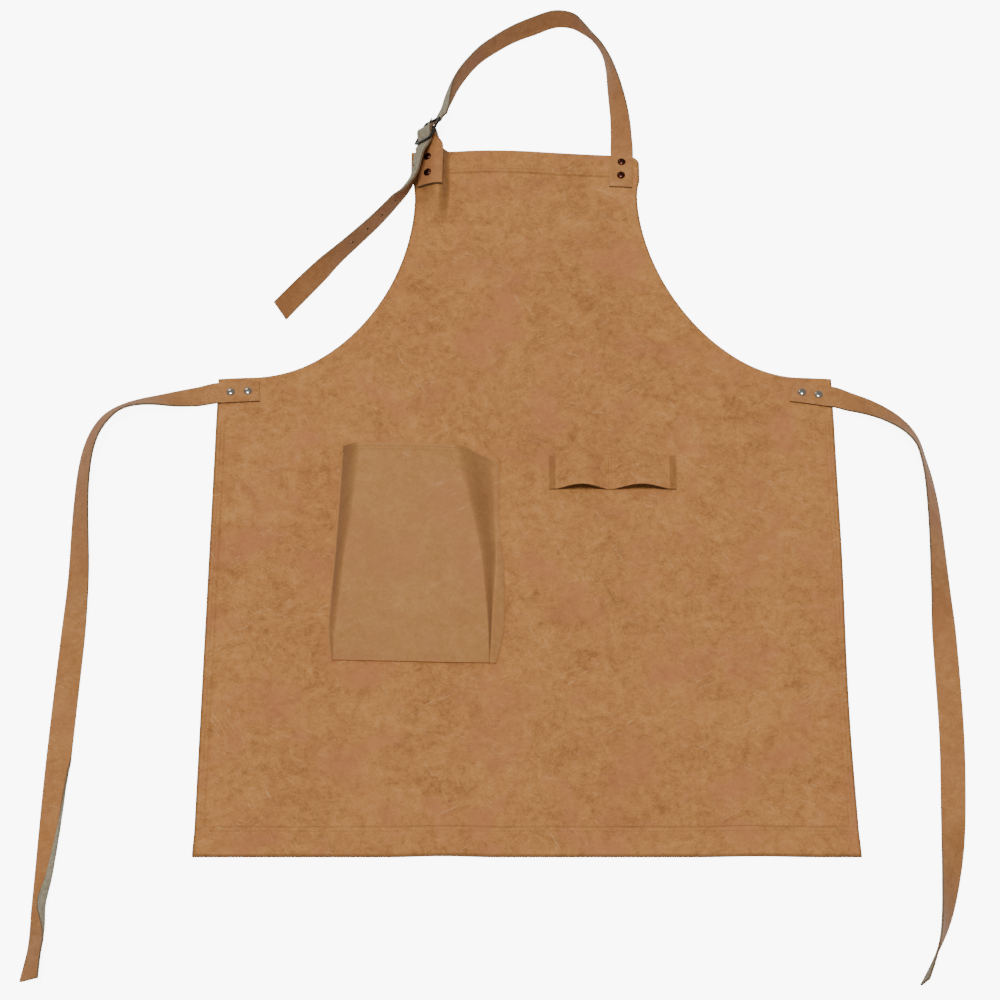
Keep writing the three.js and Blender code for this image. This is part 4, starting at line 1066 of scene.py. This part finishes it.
def buckle_tab():
    start, stop = TABS["buckle"]["from"], TABS["buckle"]["to"]
    half = TAB_THICK / 2
    columns = [(k / TAB_PANELS - 0.5) * TAB["width"] for k in range(TAB_PANELS + 1)]
    on_sheet = (stop - start).normalized()
    to_right = on_sheet.cross(Vector((0, 0, 1)))
    bar_across = -across_buckle
    bar_along = buckle_middle - Vector((stop.x, stop.y, buckle_middle.z))
    bar_along = (bar_along - bar_across * bar_along.dot(bar_across)).normalized()
    bar_along = Quaternion(bar_across, math.radians(TAB["swing"])) @ bar_along
    bar_facing = bar_across.cross(bar_along)

    def sheet_point(share, column):
        drawn_in = TAB["pinch"] * bell((1 - share) * TAB["length"] / TAB["pinch_reach"])
        p = start.lerp(stop, share) + to_right * (column * (1 - drawn_in) if column < 0 else column)
        facing = facing_at(p.x, p.y)
        p.z = topside_at(p.x, p.y, SEAT_RAMP)
        return p + facing * (TAB["seat"] + TAB_THICK + TAB["gap"] / 2), facing

    apart_sheet, apart_bar = half + TAB["gap"] / 2, BUCKLE["bar"] / 2 + 1.6 * FIT + half
    stations = []
    for k in range(SEAT_STEPS + 1):
        stations.append([(*sheet_point(k / SEAT_STEPS, column), apart_sheet) for column in columns])
    reach = (buckle_middle - sheet_point(1, 0)[0]).length
    for k in range(1, SWING_STEPS + 1):
        t = k / SWING_STEPS
        apart = mix(apart_sheet, apart_bar, smooth(t * 1.6 - 0.6))
        row = []
        for column in columns:
            begin, facing = sheet_point(1, column)
            along = facing.cross(to_right)
            end = buckle_middle + bar_across * column
            middle = begin * ((1 - t) ** 2 * (1 + 2 * t)) + end * (t * t * (3 - 2 * t))
            middle += along * (reach * t * (1 - t) ** 2) - bar_along * (reach * t * t * (1 - t))
            row.append((middle, facing.lerp(bar_facing, smooth(t)).normalized(), apart))
        stations.append(row)
    rows = [[(m - f * off, -f) for m, f, off in row] for row in stations]
    for k in range(1, TURN_STEPS):
        angle = k / TURN_STEPS * math.pi
        out = bar_facing * -math.cos(angle) + bar_along * math.sin(angle)
        rows.append([(buckle_middle + bar_across * c + out * apart_bar, out) for c in columns])
    rows += [[(m + f * off, f) for m, f, off in row] for row in reversed(stations)]
    outer = [[p + out * half for p, out in reversed(row)] for row in rows]
    inner = [[p - out * half for p, out in reversed(row)] for row in rows]
    return outer, inner


tab_outer, tab_inner = buckle_tab()
tab = skin("Tab_of_the_buckle", tab_outer, tab_inner, [strap_face, leather_back, cut_edge])
cut_away(tab, [round_rod("slot", buckle_middle, across_buckle, 5.0, 3.6, 24, cut_edge)])
finish_piece(tab, "strap_leather", "buckle_tab")

# %% [markdown]
# ## Buckle frame and prong
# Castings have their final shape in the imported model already, so its own meshes serve. A copy is merged,
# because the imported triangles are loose, and a small bevel breaks the edges that would look too sharp.

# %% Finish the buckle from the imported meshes


def from_packed(name, node_name, finish, bevel_mm):
    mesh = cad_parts[node_name].data.copy()
    shape = bmesh.new()
    shape.from_mesh(mesh)
    bmesh.ops.remove_doubles(shape, verts=shape.verts, dist=1e-6)
    bmesh.ops.dissolve_limit(shape, angle_limit=math.radians(1.5), verts=shape.verts, edges=shape.edges)
    shape.to_mesh(mesh)
    shape.free()
    mesh.materials.clear()
    mesh.materials.append(finish)
    mesh.polygons.foreach_set("use_smooth", [True] * len(mesh.polygons))
    piece = put(name, mesh)
    bevel = piece.modifiers.new("soft edges", "BEVEL")
    bevel.width = bevel_mm * MM
    bevel.segments = 2
    bevel.limit_method = "ANGLE"
    bevel.angle_limit = math.radians(30)
    apply_modifiers(piece)
    piece.data.set_sharp_from_angle(angle=math.radians(50))
    return piece


buckle_frame = from_packed("Frame_of_the_buckle", "buckle_frame", gunmetal, 0.2)
finish_piece(buckle_frame, "buckle_metal", "buckle_frame")
buckle_prong = from_packed("Prong_of_the_buckle", "buckle_prong", nickel, 0.08)
finish_piece(buckle_prong, "buckle_metal", "buckle_prong")
print("buckle:", len(buckle_frame.data.polygons), "and", len(buckle_prong.data.polygons), "faces")

# %% [markdown]
# ## Rivets
# All eight rivets are one shape: a thin domed cap with a rolled rim, a post and a flat back. It is turned
# from a profile, with the post as long as the layers are thick, and a Geometry Nodes tree sets it at its
# place, facing the way the leather does.

# %% Turn one rivet
CAP_RADIUS, CAP_HEIGHT, CAP_RIM = 4.4, 1.9, 0.3
DOME_STEPS, RIVET_SIDES = 10, 32


def turned_rivet(name, layers):
    base = THICK + layers + 0.15
    profile = [(0.0, -1.8), (3.3, -1.8), (3.6, -1.6), (3.6, -1.1), (3.3, -0.9), (1.5, -0.9), (1.5, base)]
    profile += [(CAP_RADIUS - 0.5, base), (CAP_RADIUS, base + CAP_RIM)]
    for k in range(1, DOME_STEPS + 1):
        angle = k / DOME_STEPS * math.pi / 2
        height = base + CAP_RIM + (CAP_HEIGHT - CAP_RIM) * math.sin(angle) ** 1.1
        profile.append((CAP_RADIUS * math.cos(angle) ** 0.9, height))
    mesh = bpy.data.meshes.new(name)
    shape = bmesh.new()
    turn = [2 * math.pi * k / RIVET_SIDES for k in range(RIVET_SIDES)]
    rings = []
    for radius, height in profile:
        r, z = radius * MM, height * MM
        if radius < 1e-6:
            rings.append([shape.verts.new((0, 0, z))])
        else:
            rings.append([shape.verts.new((r * math.cos(a), r * math.sin(a), z)) for a in turn])
    for low_ring, high_ring in zip(rings, rings[1:]):
        for k in range(RIVET_SIDES):
            corners = [low_ring[k % len(low_ring)], low_ring[(k + 1) % len(low_ring)]]
            corners += [high_ring[(k + 1) % len(high_ring)], high_ring[k % len(high_ring)]]
            shape.faces.new(list(dict.fromkeys(corners)))
    bmesh.ops.recalc_face_normals(shape, faces=shape.faces)
    shape.to_mesh(mesh)
    shape.free()
    mesh.polygons.foreach_set("use_smooth", [True] * len(mesh.polygons))
    mesh.set_sharp_from_angle(angle=math.radians(40))
    return put(name, mesh)


# %% A tree that sets a shape at points


def new_tree(name, *inputs):
    tree = bpy.data.node_groups.new(name, "GeometryNodeTree")
    tree.interface.new_socket("Geometry", in_out="INPUT", socket_type="NodeSocketGeometry")
    for title, kind, value in inputs:
        socket = tree.interface.new_socket(title, in_out="INPUT", socket_type=kind)
        if value is not None:
            socket.default_value = value
    tree.interface.new_socket("Geometry", in_out="OUTPUT", socket_type="NodeSocketGeometry")
    return tree


def run_tree(piece, tree, **values):
    modifier = piece.modifiers.new(tree.name, "NODES")
    modifier.node_group = tree
    for item in tree.interface.items_tree:
        if item.in_out == "INPUT" and item.name.replace(" ", "_") in values:
            modifier[item.identifier] = values[item.name.replace(" ", "_")]
    apply_modifiers(piece)


def in_finish(tree, instances, given):
    real = node(tree, "GeometryNodeRealizeInstances", Geometry=instances.outputs["Instances"])
    return node(
        tree,
        "GeometryNodeSetMaterial",
        Geometry=real.outputs["Geometry"],
        Material=given.outputs["Finish"],
    )


def setting_tree():
    tree = new_tree(
        "set at points",
        ("Shape", "NodeSocketObject", None),
        ("Finish", "NodeSocketMaterial", None),
    )
    given = node(tree, "NodeGroupInput")
    shape = node(tree, "GeometryNodeObjectInfo", Object=given.outputs["Shape"])
    facing = node(tree, "GeometryNodeInputNamedAttribute", {"data_type": "FLOAT_VECTOR"}, Name="facing")
    direction = facing.outputs["Attribute"]
    turn = node(tree, "FunctionNodeAlignRotationToVector", {"axis": "Z"}, Vector=direction)
    set_out = node(
        tree,
        "GeometryNodeInstanceOnPoints",
        Points=given.outputs["Geometry"],
        Instance=shape.outputs["Geometry"],
        Rotation=turn.outputs["Rotation"],
    )
    finished = in_finish(tree, set_out, given)
    node(tree, "NodeGroupOutput", Geometry=finished.outputs["Geometry"])
    return tree


rivet_tree = setting_tree()


# %% Set the rivets
rivet_rows = table(
    "tab title layers plate",
    ("left", "waist_left", LAY + STRAP_THICK, nickel),
    ("right", "waist_right", LAY + STRAP_THICK, nickel),
    # The bib's rivets get the plate with the painted dark reflection.
    ("neck", "neck", LAY + STRAP_THICK, dark_reflection_plate),
    ("buckle", "buckle", TAB["seat"] + 2 * TAB_THICK + TAB["gap"], dark_reflection_plate),
)
for row in rivet_rows:
    title, place = row["title"], TABS[row["tab"]]
    direction = (place["to"] - place["from"]).normalized()
    for k, distance in enumerate(place["rivets"]):
        p = place["from"] + direction * distance
        p.z = underside_at(p.x, p.y)
        seat = THICK * (layers_at(p.x, p.y, SEAT_RAMP) - 1)
        shape = turned_rivet("rivet shape", row["layers"] + seat)
        mesh = bpy.data.meshes.new(f"Rivet_{title}_{k + 1}_turned")
        mesh.from_pydata([in_scene(p)], [], [])
        mesh.attributes.new("facing", "FLOAT_VECTOR", "POINT").data[0].vector = facing_at(p.x, p.y)
        piece = put(mesh.name, mesh)
        run_tree(piece, rivet_tree, Shape=shape, Finish=row["plate"])
        bpy.data.objects.remove(shape)
        print(piece.name, len(piece.data.polygons), "faces")
        finish_piece(piece, "rivet_metal", f"rivet_{title}_{k + 1}")
print("rivets set:", 2 * len(rivet_rows))

# %% [markdown]
# ## The front pocket
# The pocket stands open at its mouth, because its sides are gussets. Each row of points is one cross
# section: the left seam, a short gusset, the front, the long slope of the right gusset and the flat strip
# that is sewn down beside it. Towards the bottom seam the sections flatten. The mouth has a folded hem.

# %% Shape of the pocket
POCKET = {
    "bottom": 214.0,
    "height": 238.0,
    "lean": 8.0,
    "tilt": 4.0,
    "stand": 16.0,
    "thick": 1.6,
    "hem": 7.0,
    "corner_rise": 13.0,
}
HEM_STEP, PATCH_GAP = 0.006, 0.25
pocket_rows = table(
    "at seam_left front_left front_right foot seam_right rise",
    (0, -195.5, -194, -38, -36.8, -30.5, 0.02),
    (0.05, -199, -193.5, -38.2, -36, -27, 0.12),
    (0.15, -201, -192, -38.6, -35, -22.8, 0.25),
    (0.3, -199.5, -188.5, -41.5, -33, -21.5, 0.42),
    (0.48, -197, -185, -46, -29.8, -22.5, 0.62),
    (0.68, -194.8, -178.5, -55, -30.5, -27, 0.8),
    (0.86, -193, -174.5, -66, -30.7, -27.2, 0.93),
    (1, -191.5, -172.5, -76, -31, -27.5, 1),
)


def pocket_section(at):
    row = {column: value_at(pocket_rows, at, column) for column in pocket_rows[0] if column != "at"}
    left, right = row["seam_left"], row["seam_right"]
    flange = min(2.5, (row["front_left"] - left) / 2)
    height = POCKET["stand"] * row["rise"]
    points = [(left, 0.0)]

    def add(from_x, to_x, parts, height_at):
        for k in range(1, parts + 1):
            points.append((mix(from_x, to_x, k / parts), height * height_at(k / parts)))

    add(left, left + flange, 2, lambda t: 0.0)
    add(left + flange, row["front_left"], 10, lambda t: math.sin(t * math.pi / 2))
    add(row["front_left"], row["front_right"], 40, lambda t: 1 + 0.06 * math.sin(t * math.pi))
    add(row["front_right"], row["foot"], 30, lambda t: 1 - smooth(t))
    add(row["foot"], right - flange, 3, lambda t: 0.0)
    add(right - flange, right, 2, lambda t: 0.0)
    return points, left, right, row["front_left"], height


def pocket_solid():
    hem_start = 1 - POCKET["hem"] / POCKET["height"]
    shares = [k / 66 for k in range(60)] + [hem_start - HEM_STEP, hem_start, hem_start + HEM_STEP]
    shares = sorted(share for share in shares if share < hem_start + 0.007)
    shares += [mix(hem_start + 0.015, 0.994, k / 8) for k in range(9)] + [1.0]
    upper, lower = [], []
    for at in shares:
        points, left, right, front_left, height = pocket_section(at)
        hem = smooth((at - hem_start + HEM_STEP) / (2 * HEM_STEP))
        upper_row, lower_row = [], []
        for k, (x, h) in enumerate(points):
            before, after = points[max(k - 1, 0)], points[min(k + 1, len(points) - 1)]
            normal = Vector((before[1] - after[1], 0, after[0] - before[0])).normalized()
            y = POCKET["bottom"] + at * POCKET["height"] + at**5 * POCKET["lean"] * h / POCKET["stand"]
            y -= POCKET["tilt"] * (x - left) / (right - left)
            if x < front_left:
                y += at**5 * POCKET["corner_rise"] * (1 - h / height)
            soft = 0.5 * noise.noise(Vector((x / 30, y / 42, 1.9))) * smooth(h / 3)
            z = topside_at(x, y) + PATCH_GAP + POCKET["thick"] / 2 + h + soft
            upper_row.append(Vector((x, y, z)) + normal * POCKET["thick"] * (0.5 + 0.35 * hem))
            lower_row.append(Vector((x, y, z)) - normal * POCKET["thick"] / 2)
        upper.append(upper_row)
        lower.append(lower_row)
    return upper, lower


pocket_upper, pocket_lower = pocket_solid()


# Painted shade: the strip beside the right gusset lies in its shade and is painted a little darker, up to
# three fifths of the pocket's height. Elsewhere the pocket's painted shade follows how far it leans.
STRIP_COLUMNS, STRIP_ROWS, STRIP_PAINTED_SHADE = 5, 40, 0.2


def pocket_painted_shade(i, j):
    in_strip = j >= len(pocket_upper[i]) - STRIP_COLUMNS and i < STRIP_ROWS
    return max(grid_lean(pocket_upper, i, j), STRIP_PAINTED_SHADE if in_strip else 0.0)


pocket_finishes = [pocket_face, leather_back, pocket_face]
pocket = skin("Pocket_with_gussets", pocket_upper, pocket_lower, pocket_finishes, lean_at=pocket_painted_shade)
finish_piece(pocket, "apron_leather", "front_pocket")

# %% [markdown]
# ## The tool loops
# One strip, sewn flat at its ends and in the middle, leaves two arches. A bell raised to a power of 0.65
# gives the arch a round top and soft feet. The strip's ends are folded under, and shade is painted on
# them.

# %% Shape of the tool loops
LOOPS = {
    "left": 25.0,
    "right": 157.0,
    "bottom": 413.0,
    "height": 40.0,
    "end": 7.0,
    "middle": 88.3,
    "land": 3.0,
    "bulge": 11.0,
    "thick": 1.6,
    "fold": 0.5,
}
ARCH_POWER, ARCH_STEPS = 0.65, 40
END_COLUMNS, END_PAINTED_SHADE = 9, 0.6


def loops_solid():
    spans = [(LOOPS["left"] + LOOPS["end"], LOOPS["middle"] - LOOPS["land"])]
    spans.append((LOOPS["middle"] + LOOPS["land"], LOOPS["right"] - LOOPS["end"]))
    heights = []
    for k in range(END_COLUMNS):
        t = k / END_COLUMNS
        heights.append((mix(LOOPS["left"], spans[0][0], t), LOOPS["fold"] * smooth(1.5 * t)))
    for start, stop in spans:
        for k in range(ARCH_STEPS + 1):
            t = k / ARCH_STEPS
            outward = 1 - t if start == spans[0][0] else t
            arch = LOOPS["bulge"] * bell(2 * t - 1) ** ARCH_POWER
            heights.append((mix(start, stop, t), arch + LOOPS["fold"] * outward**3))
    for k in range(1, END_COLUMNS + 1):
        t = k / END_COLUMNS
        heights.append((mix(spans[1][1], LOOPS["right"], t), LOOPS["fold"] * smooth(1.5 - 1.5 * t)))
    half = LOOPS["thick"] / 2

    def grid(out):
        rows = []
        for m in range(17):
            share = m / 16
            row = []
            for k, (x, h) in enumerate(heights):
                before, after = heights[max(k - 1, 0)], heights[min(k + 1, len(heights) - 1)]
                normal = Vector((before[1] - after[1], 0, after[0] - before[0])).normalized()
                y = LOOPS["bottom"] + LOOPS["height"] * share
                row.append(Vector((x, y, topside_at(x, y) + PATCH_GAP + half + h)) + normal * out)
            rows.append(row)
        return rows

    return grid(half), grid(-half)


loops_upper, loops_lower = loops_solid()


# Painted shade on the strip's folded ends; the arches get none.
def loops_painted_shade(i, j):
    return END_PAINTED_SHADE if min(j, len(loops_upper[i]) - 1 - j) < END_COLUMNS else 0.0


loops_finishes = [leather_face, leather_back, cut_edge]
loops = skin("Loops_for_tools", loops_upper, loops_lower, loops_finishes, lean_at=loops_painted_shade)
finish_piece(loops, "apron_leather", "tool_loops")

# %% [markdown]
# ## Seams
# A lockstitch shows as short pieces of thread that dip into the leather, 3.5 mm apart. A tree spaces
# points along a path and lays one small capsule on each, turned along the path. The same tree sews all
# seams; only the path differs. The thread is drawn 0.7 mm thick, which is a little more than life.

# %% A tree that sews along a path
STITCH_SHARE = 0.72


def sewing_tree():
    tree = new_tree(
        "lockstitch",
        ("Stitch length", "NodeSocketFloat", 3.5 * MM),
        ("Thread", "NodeSocketFloat", 0.7 * MM),
        ("Finish", "NodeSocketMaterial", None),
    )
    given = node(tree, "NodeGroupInput")
    path = node(tree, "GeometryNodeMeshToCurve", Mesh=given.outputs["Geometry"])
    spacing, width = given.outputs["Stitch length"], given.outputs["Thread"]
    points = node(
        tree,
        "GeometryNodeCurveToPoints",
        {"mode": "LENGTH"},
        Curve=path.outputs["Curve"],
        Length=spacing,
    )
    ball = node(tree, "GeometryNodeMeshUVSphere", Segments=6, Rings=4, Radius=0.5)
    long = node(tree, "ShaderNodeMath", {"operation": "MULTIPLY"}, _0=spacing, _1=STITCH_SHARE)
    size = node(tree, "ShaderNodeCombineXYZ", X=width, Y=width, Z=long.outputs[0])
    laid = node(
        tree,
        "GeometryNodeInstanceOnPoints",
        Points=points.outputs["Points"],
        Instance=ball.outputs["Mesh"],
        Rotation=points.outputs["Rotation"],
        Scale=size.outputs[0],
    )
    sewn = in_finish(tree, laid, given)
    round_off = node(tree, "GeometryNodeSetShadeSmooth", Geometry=sewn.outputs["Geometry"])
    node(tree, "NodeGroupOutput", Geometry=round_off.outputs["Geometry"])
    return tree


stitch_tree = sewing_tree()


def sew(name, paths, slot_name="apron_leather"):
    points, edges = [], []
    for path in paths:
        first = len(points)
        points += [in_scene(p) for p in path]
        edges += [(k, k + 1) for k in range(first, len(points) - 1)]
    mesh = bpy.data.meshes.new(name)
    mesh.from_pydata(points, edges, [])
    seam = put(name, mesh)
    run_tree(seam, stitch_tree, Finish=thread)
    print(name, len(seam.data.polygons), "faces")
    finish_piece(seam, slot_name)


def on_sheet_path(places, lift=0.05):
    return [Vector((x, y, topside_at(x, y) + max(unevenness(x, y), -0.3) + lift)) for x, y in places]


# %% Sew the hems of the sheet
bottom = [(x, 26.5) for x in range(-320, 321, 5)]
top = [(BIB_LEFT + 3 + (BIB_RIGHT - BIB_LEFT - 6) * k / 60, 0) for k in range(61)]
top = [(x, bib_top_at(x) - 24.5) for x, _ in top]
left_side = [(-skirt_half_at(LEFT, y) + 5.5, y) for y in range(32, 500, 6)]
right_side = [(skirt_half_at(RIGHT, y) - 5.5, y) for y in range(32, 500, 6)]
sew("Seams_of_the_hems", [on_sheet_path(p) for p in (bottom, top, left_side, right_side)])

# %% Sew the pocket and the loops


def along_column(grid, column, lift=0.05):
    return [row[column] + Vector((0, 0, lift)) for row in grid]


MIDDLE_COLUMN = 30
seam_y = pocket_upper[-1][MIDDLE_COLUMN].y - 4
mouth_row = min(pocket_upper, key=lambda row: abs(row[MIDDLE_COLUMN].y - seam_y))
mouth_seam = [p + Vector((0, 0, 0.1)) for p in mouth_row[4:-4]]
side_seams = [along_column(pocket_upper, 1), along_column(pocket_upper, -2)]
sew("Seams_of_the_pocket", side_seams + [mouth_seam])


def across_loops(x):
    step = [LOOPS["bottom"] + 2 + (LOOPS["height"] - 4) * k / 12 for k in range(13)]
    return [Vector((x, y, topside_at(x, y) + PATCH_GAP + LOOPS["thick"] + 0.08)) for y in step]


sew("Seams_of_the_loops", [across_loops(x) for x in (86.8, 89.8)])

# %% [markdown]
# ## What the pieces are cut from
# The pocket and the loops stand off, so their cut sizes are measured along the leather itself.


def path_length(points):
    return sum((b - a).length for a, b in zip(points, points[1:])) * MM


pocket_wide = path_length(pocket_upper[len(pocket_upper) // 2])
pocket_high = path_length([row[MIDDLE_COLUMN] for row in pocket_upper]) + POCKET["hem"] * MM
loops_long = path_length(loops_upper[0])
print("pocket cut to", round(pocket_wide, 3), round(pocket_high, 3), "loops to", round(loops_long, 3))
floor_mesh = bpy.data.meshes.new("Floor")
floor_mesh.from_pydata([(-6, -6, 0), (6, -6, 0), (6, 6, 0), (-6, 6, 0)], [], [(0, 1, 2, 3)])
floor = put("Floor", floor_mesh)
floor.location.z = -0.0006

# %% [markdown]
# ## Floor, light and camera
# The ground glows where the camera sees it, so it comes out white, as cut-out product photos have it. One
# broad light shines almost straight down, with an even fill from all round, and a small window beyond
# the bib gives the rivets something to mirror. The camera stands 60 degrees above the floor, in front of
# the hem.

# %% The stage
ground, ground_tree, ground_shader = blank("white paper ground", 0.9)
ground_shader.inputs["Base Color"].default_value = linear("#f4f4f4")
ground_shader.inputs["Emission Color"].default_value = linear("#ffffff")
GLOW = 8.0
seen = node(ground_tree, "ShaderNodeLightPath").outputs["Is Camera Ray"]
glow = node(ground_tree, "ShaderNodeMath", {"operation": "MULTIPLY"}, _0=seen, _1=GLOW)
ground_tree.links.new(glow.outputs[0], ground_shader.inputs["Emission Strength"])
floor_mesh.materials.append(ground)

world = bpy.data.worlds.new("studio")
bpy.context.scene.world = world
world.use_nodes = True
world.node_tree.nodes["Background"].inputs["Color"].default_value = linear("#ffffff")
world.node_tree.nodes["Background"].inputs["Strength"].default_value = 0.3


def turned_to(direction):
    return direction.to_track_quat("-Z", "Y").to_euler()


key = bpy.data.lights.new("soft light from above", "SUN")
key.energy = 2.65
key.angle = math.radians(20)
key_lamp = put(key.name, key)
key_lamp.rotation_euler = turned_to(Vector((0.06, 0.1, -1)))

window = bpy.data.lights.new("window for the metal", "AREA")
window.shape = "RECTANGLE"
window.size, window.size_y = 0.9, 0.5
window.energy = 6
window_lamp = put(window.name, window)
window_lamp.location = (-0.9, 1.9, 1.6)
window_lamp.rotation_euler = turned_to(Vector((0, 0.2, 0)) - window_lamp.location)

# %% The camera
eye = in_scene(Vector((-26.3, -1203.4, 2780.0)))
aim = in_scene(Vector((-26.3, 401.6, 0.0)))
camera_data = bpy.data.cameras.new("Camera")
camera_data.lens = 111.35
camera_data.sensor_width = 36.0
camera = put("Camera", camera_data)
camera.location = eye
camera.rotation_euler = turned_to(aim - eye)
bpy.context.scene.camera = camera
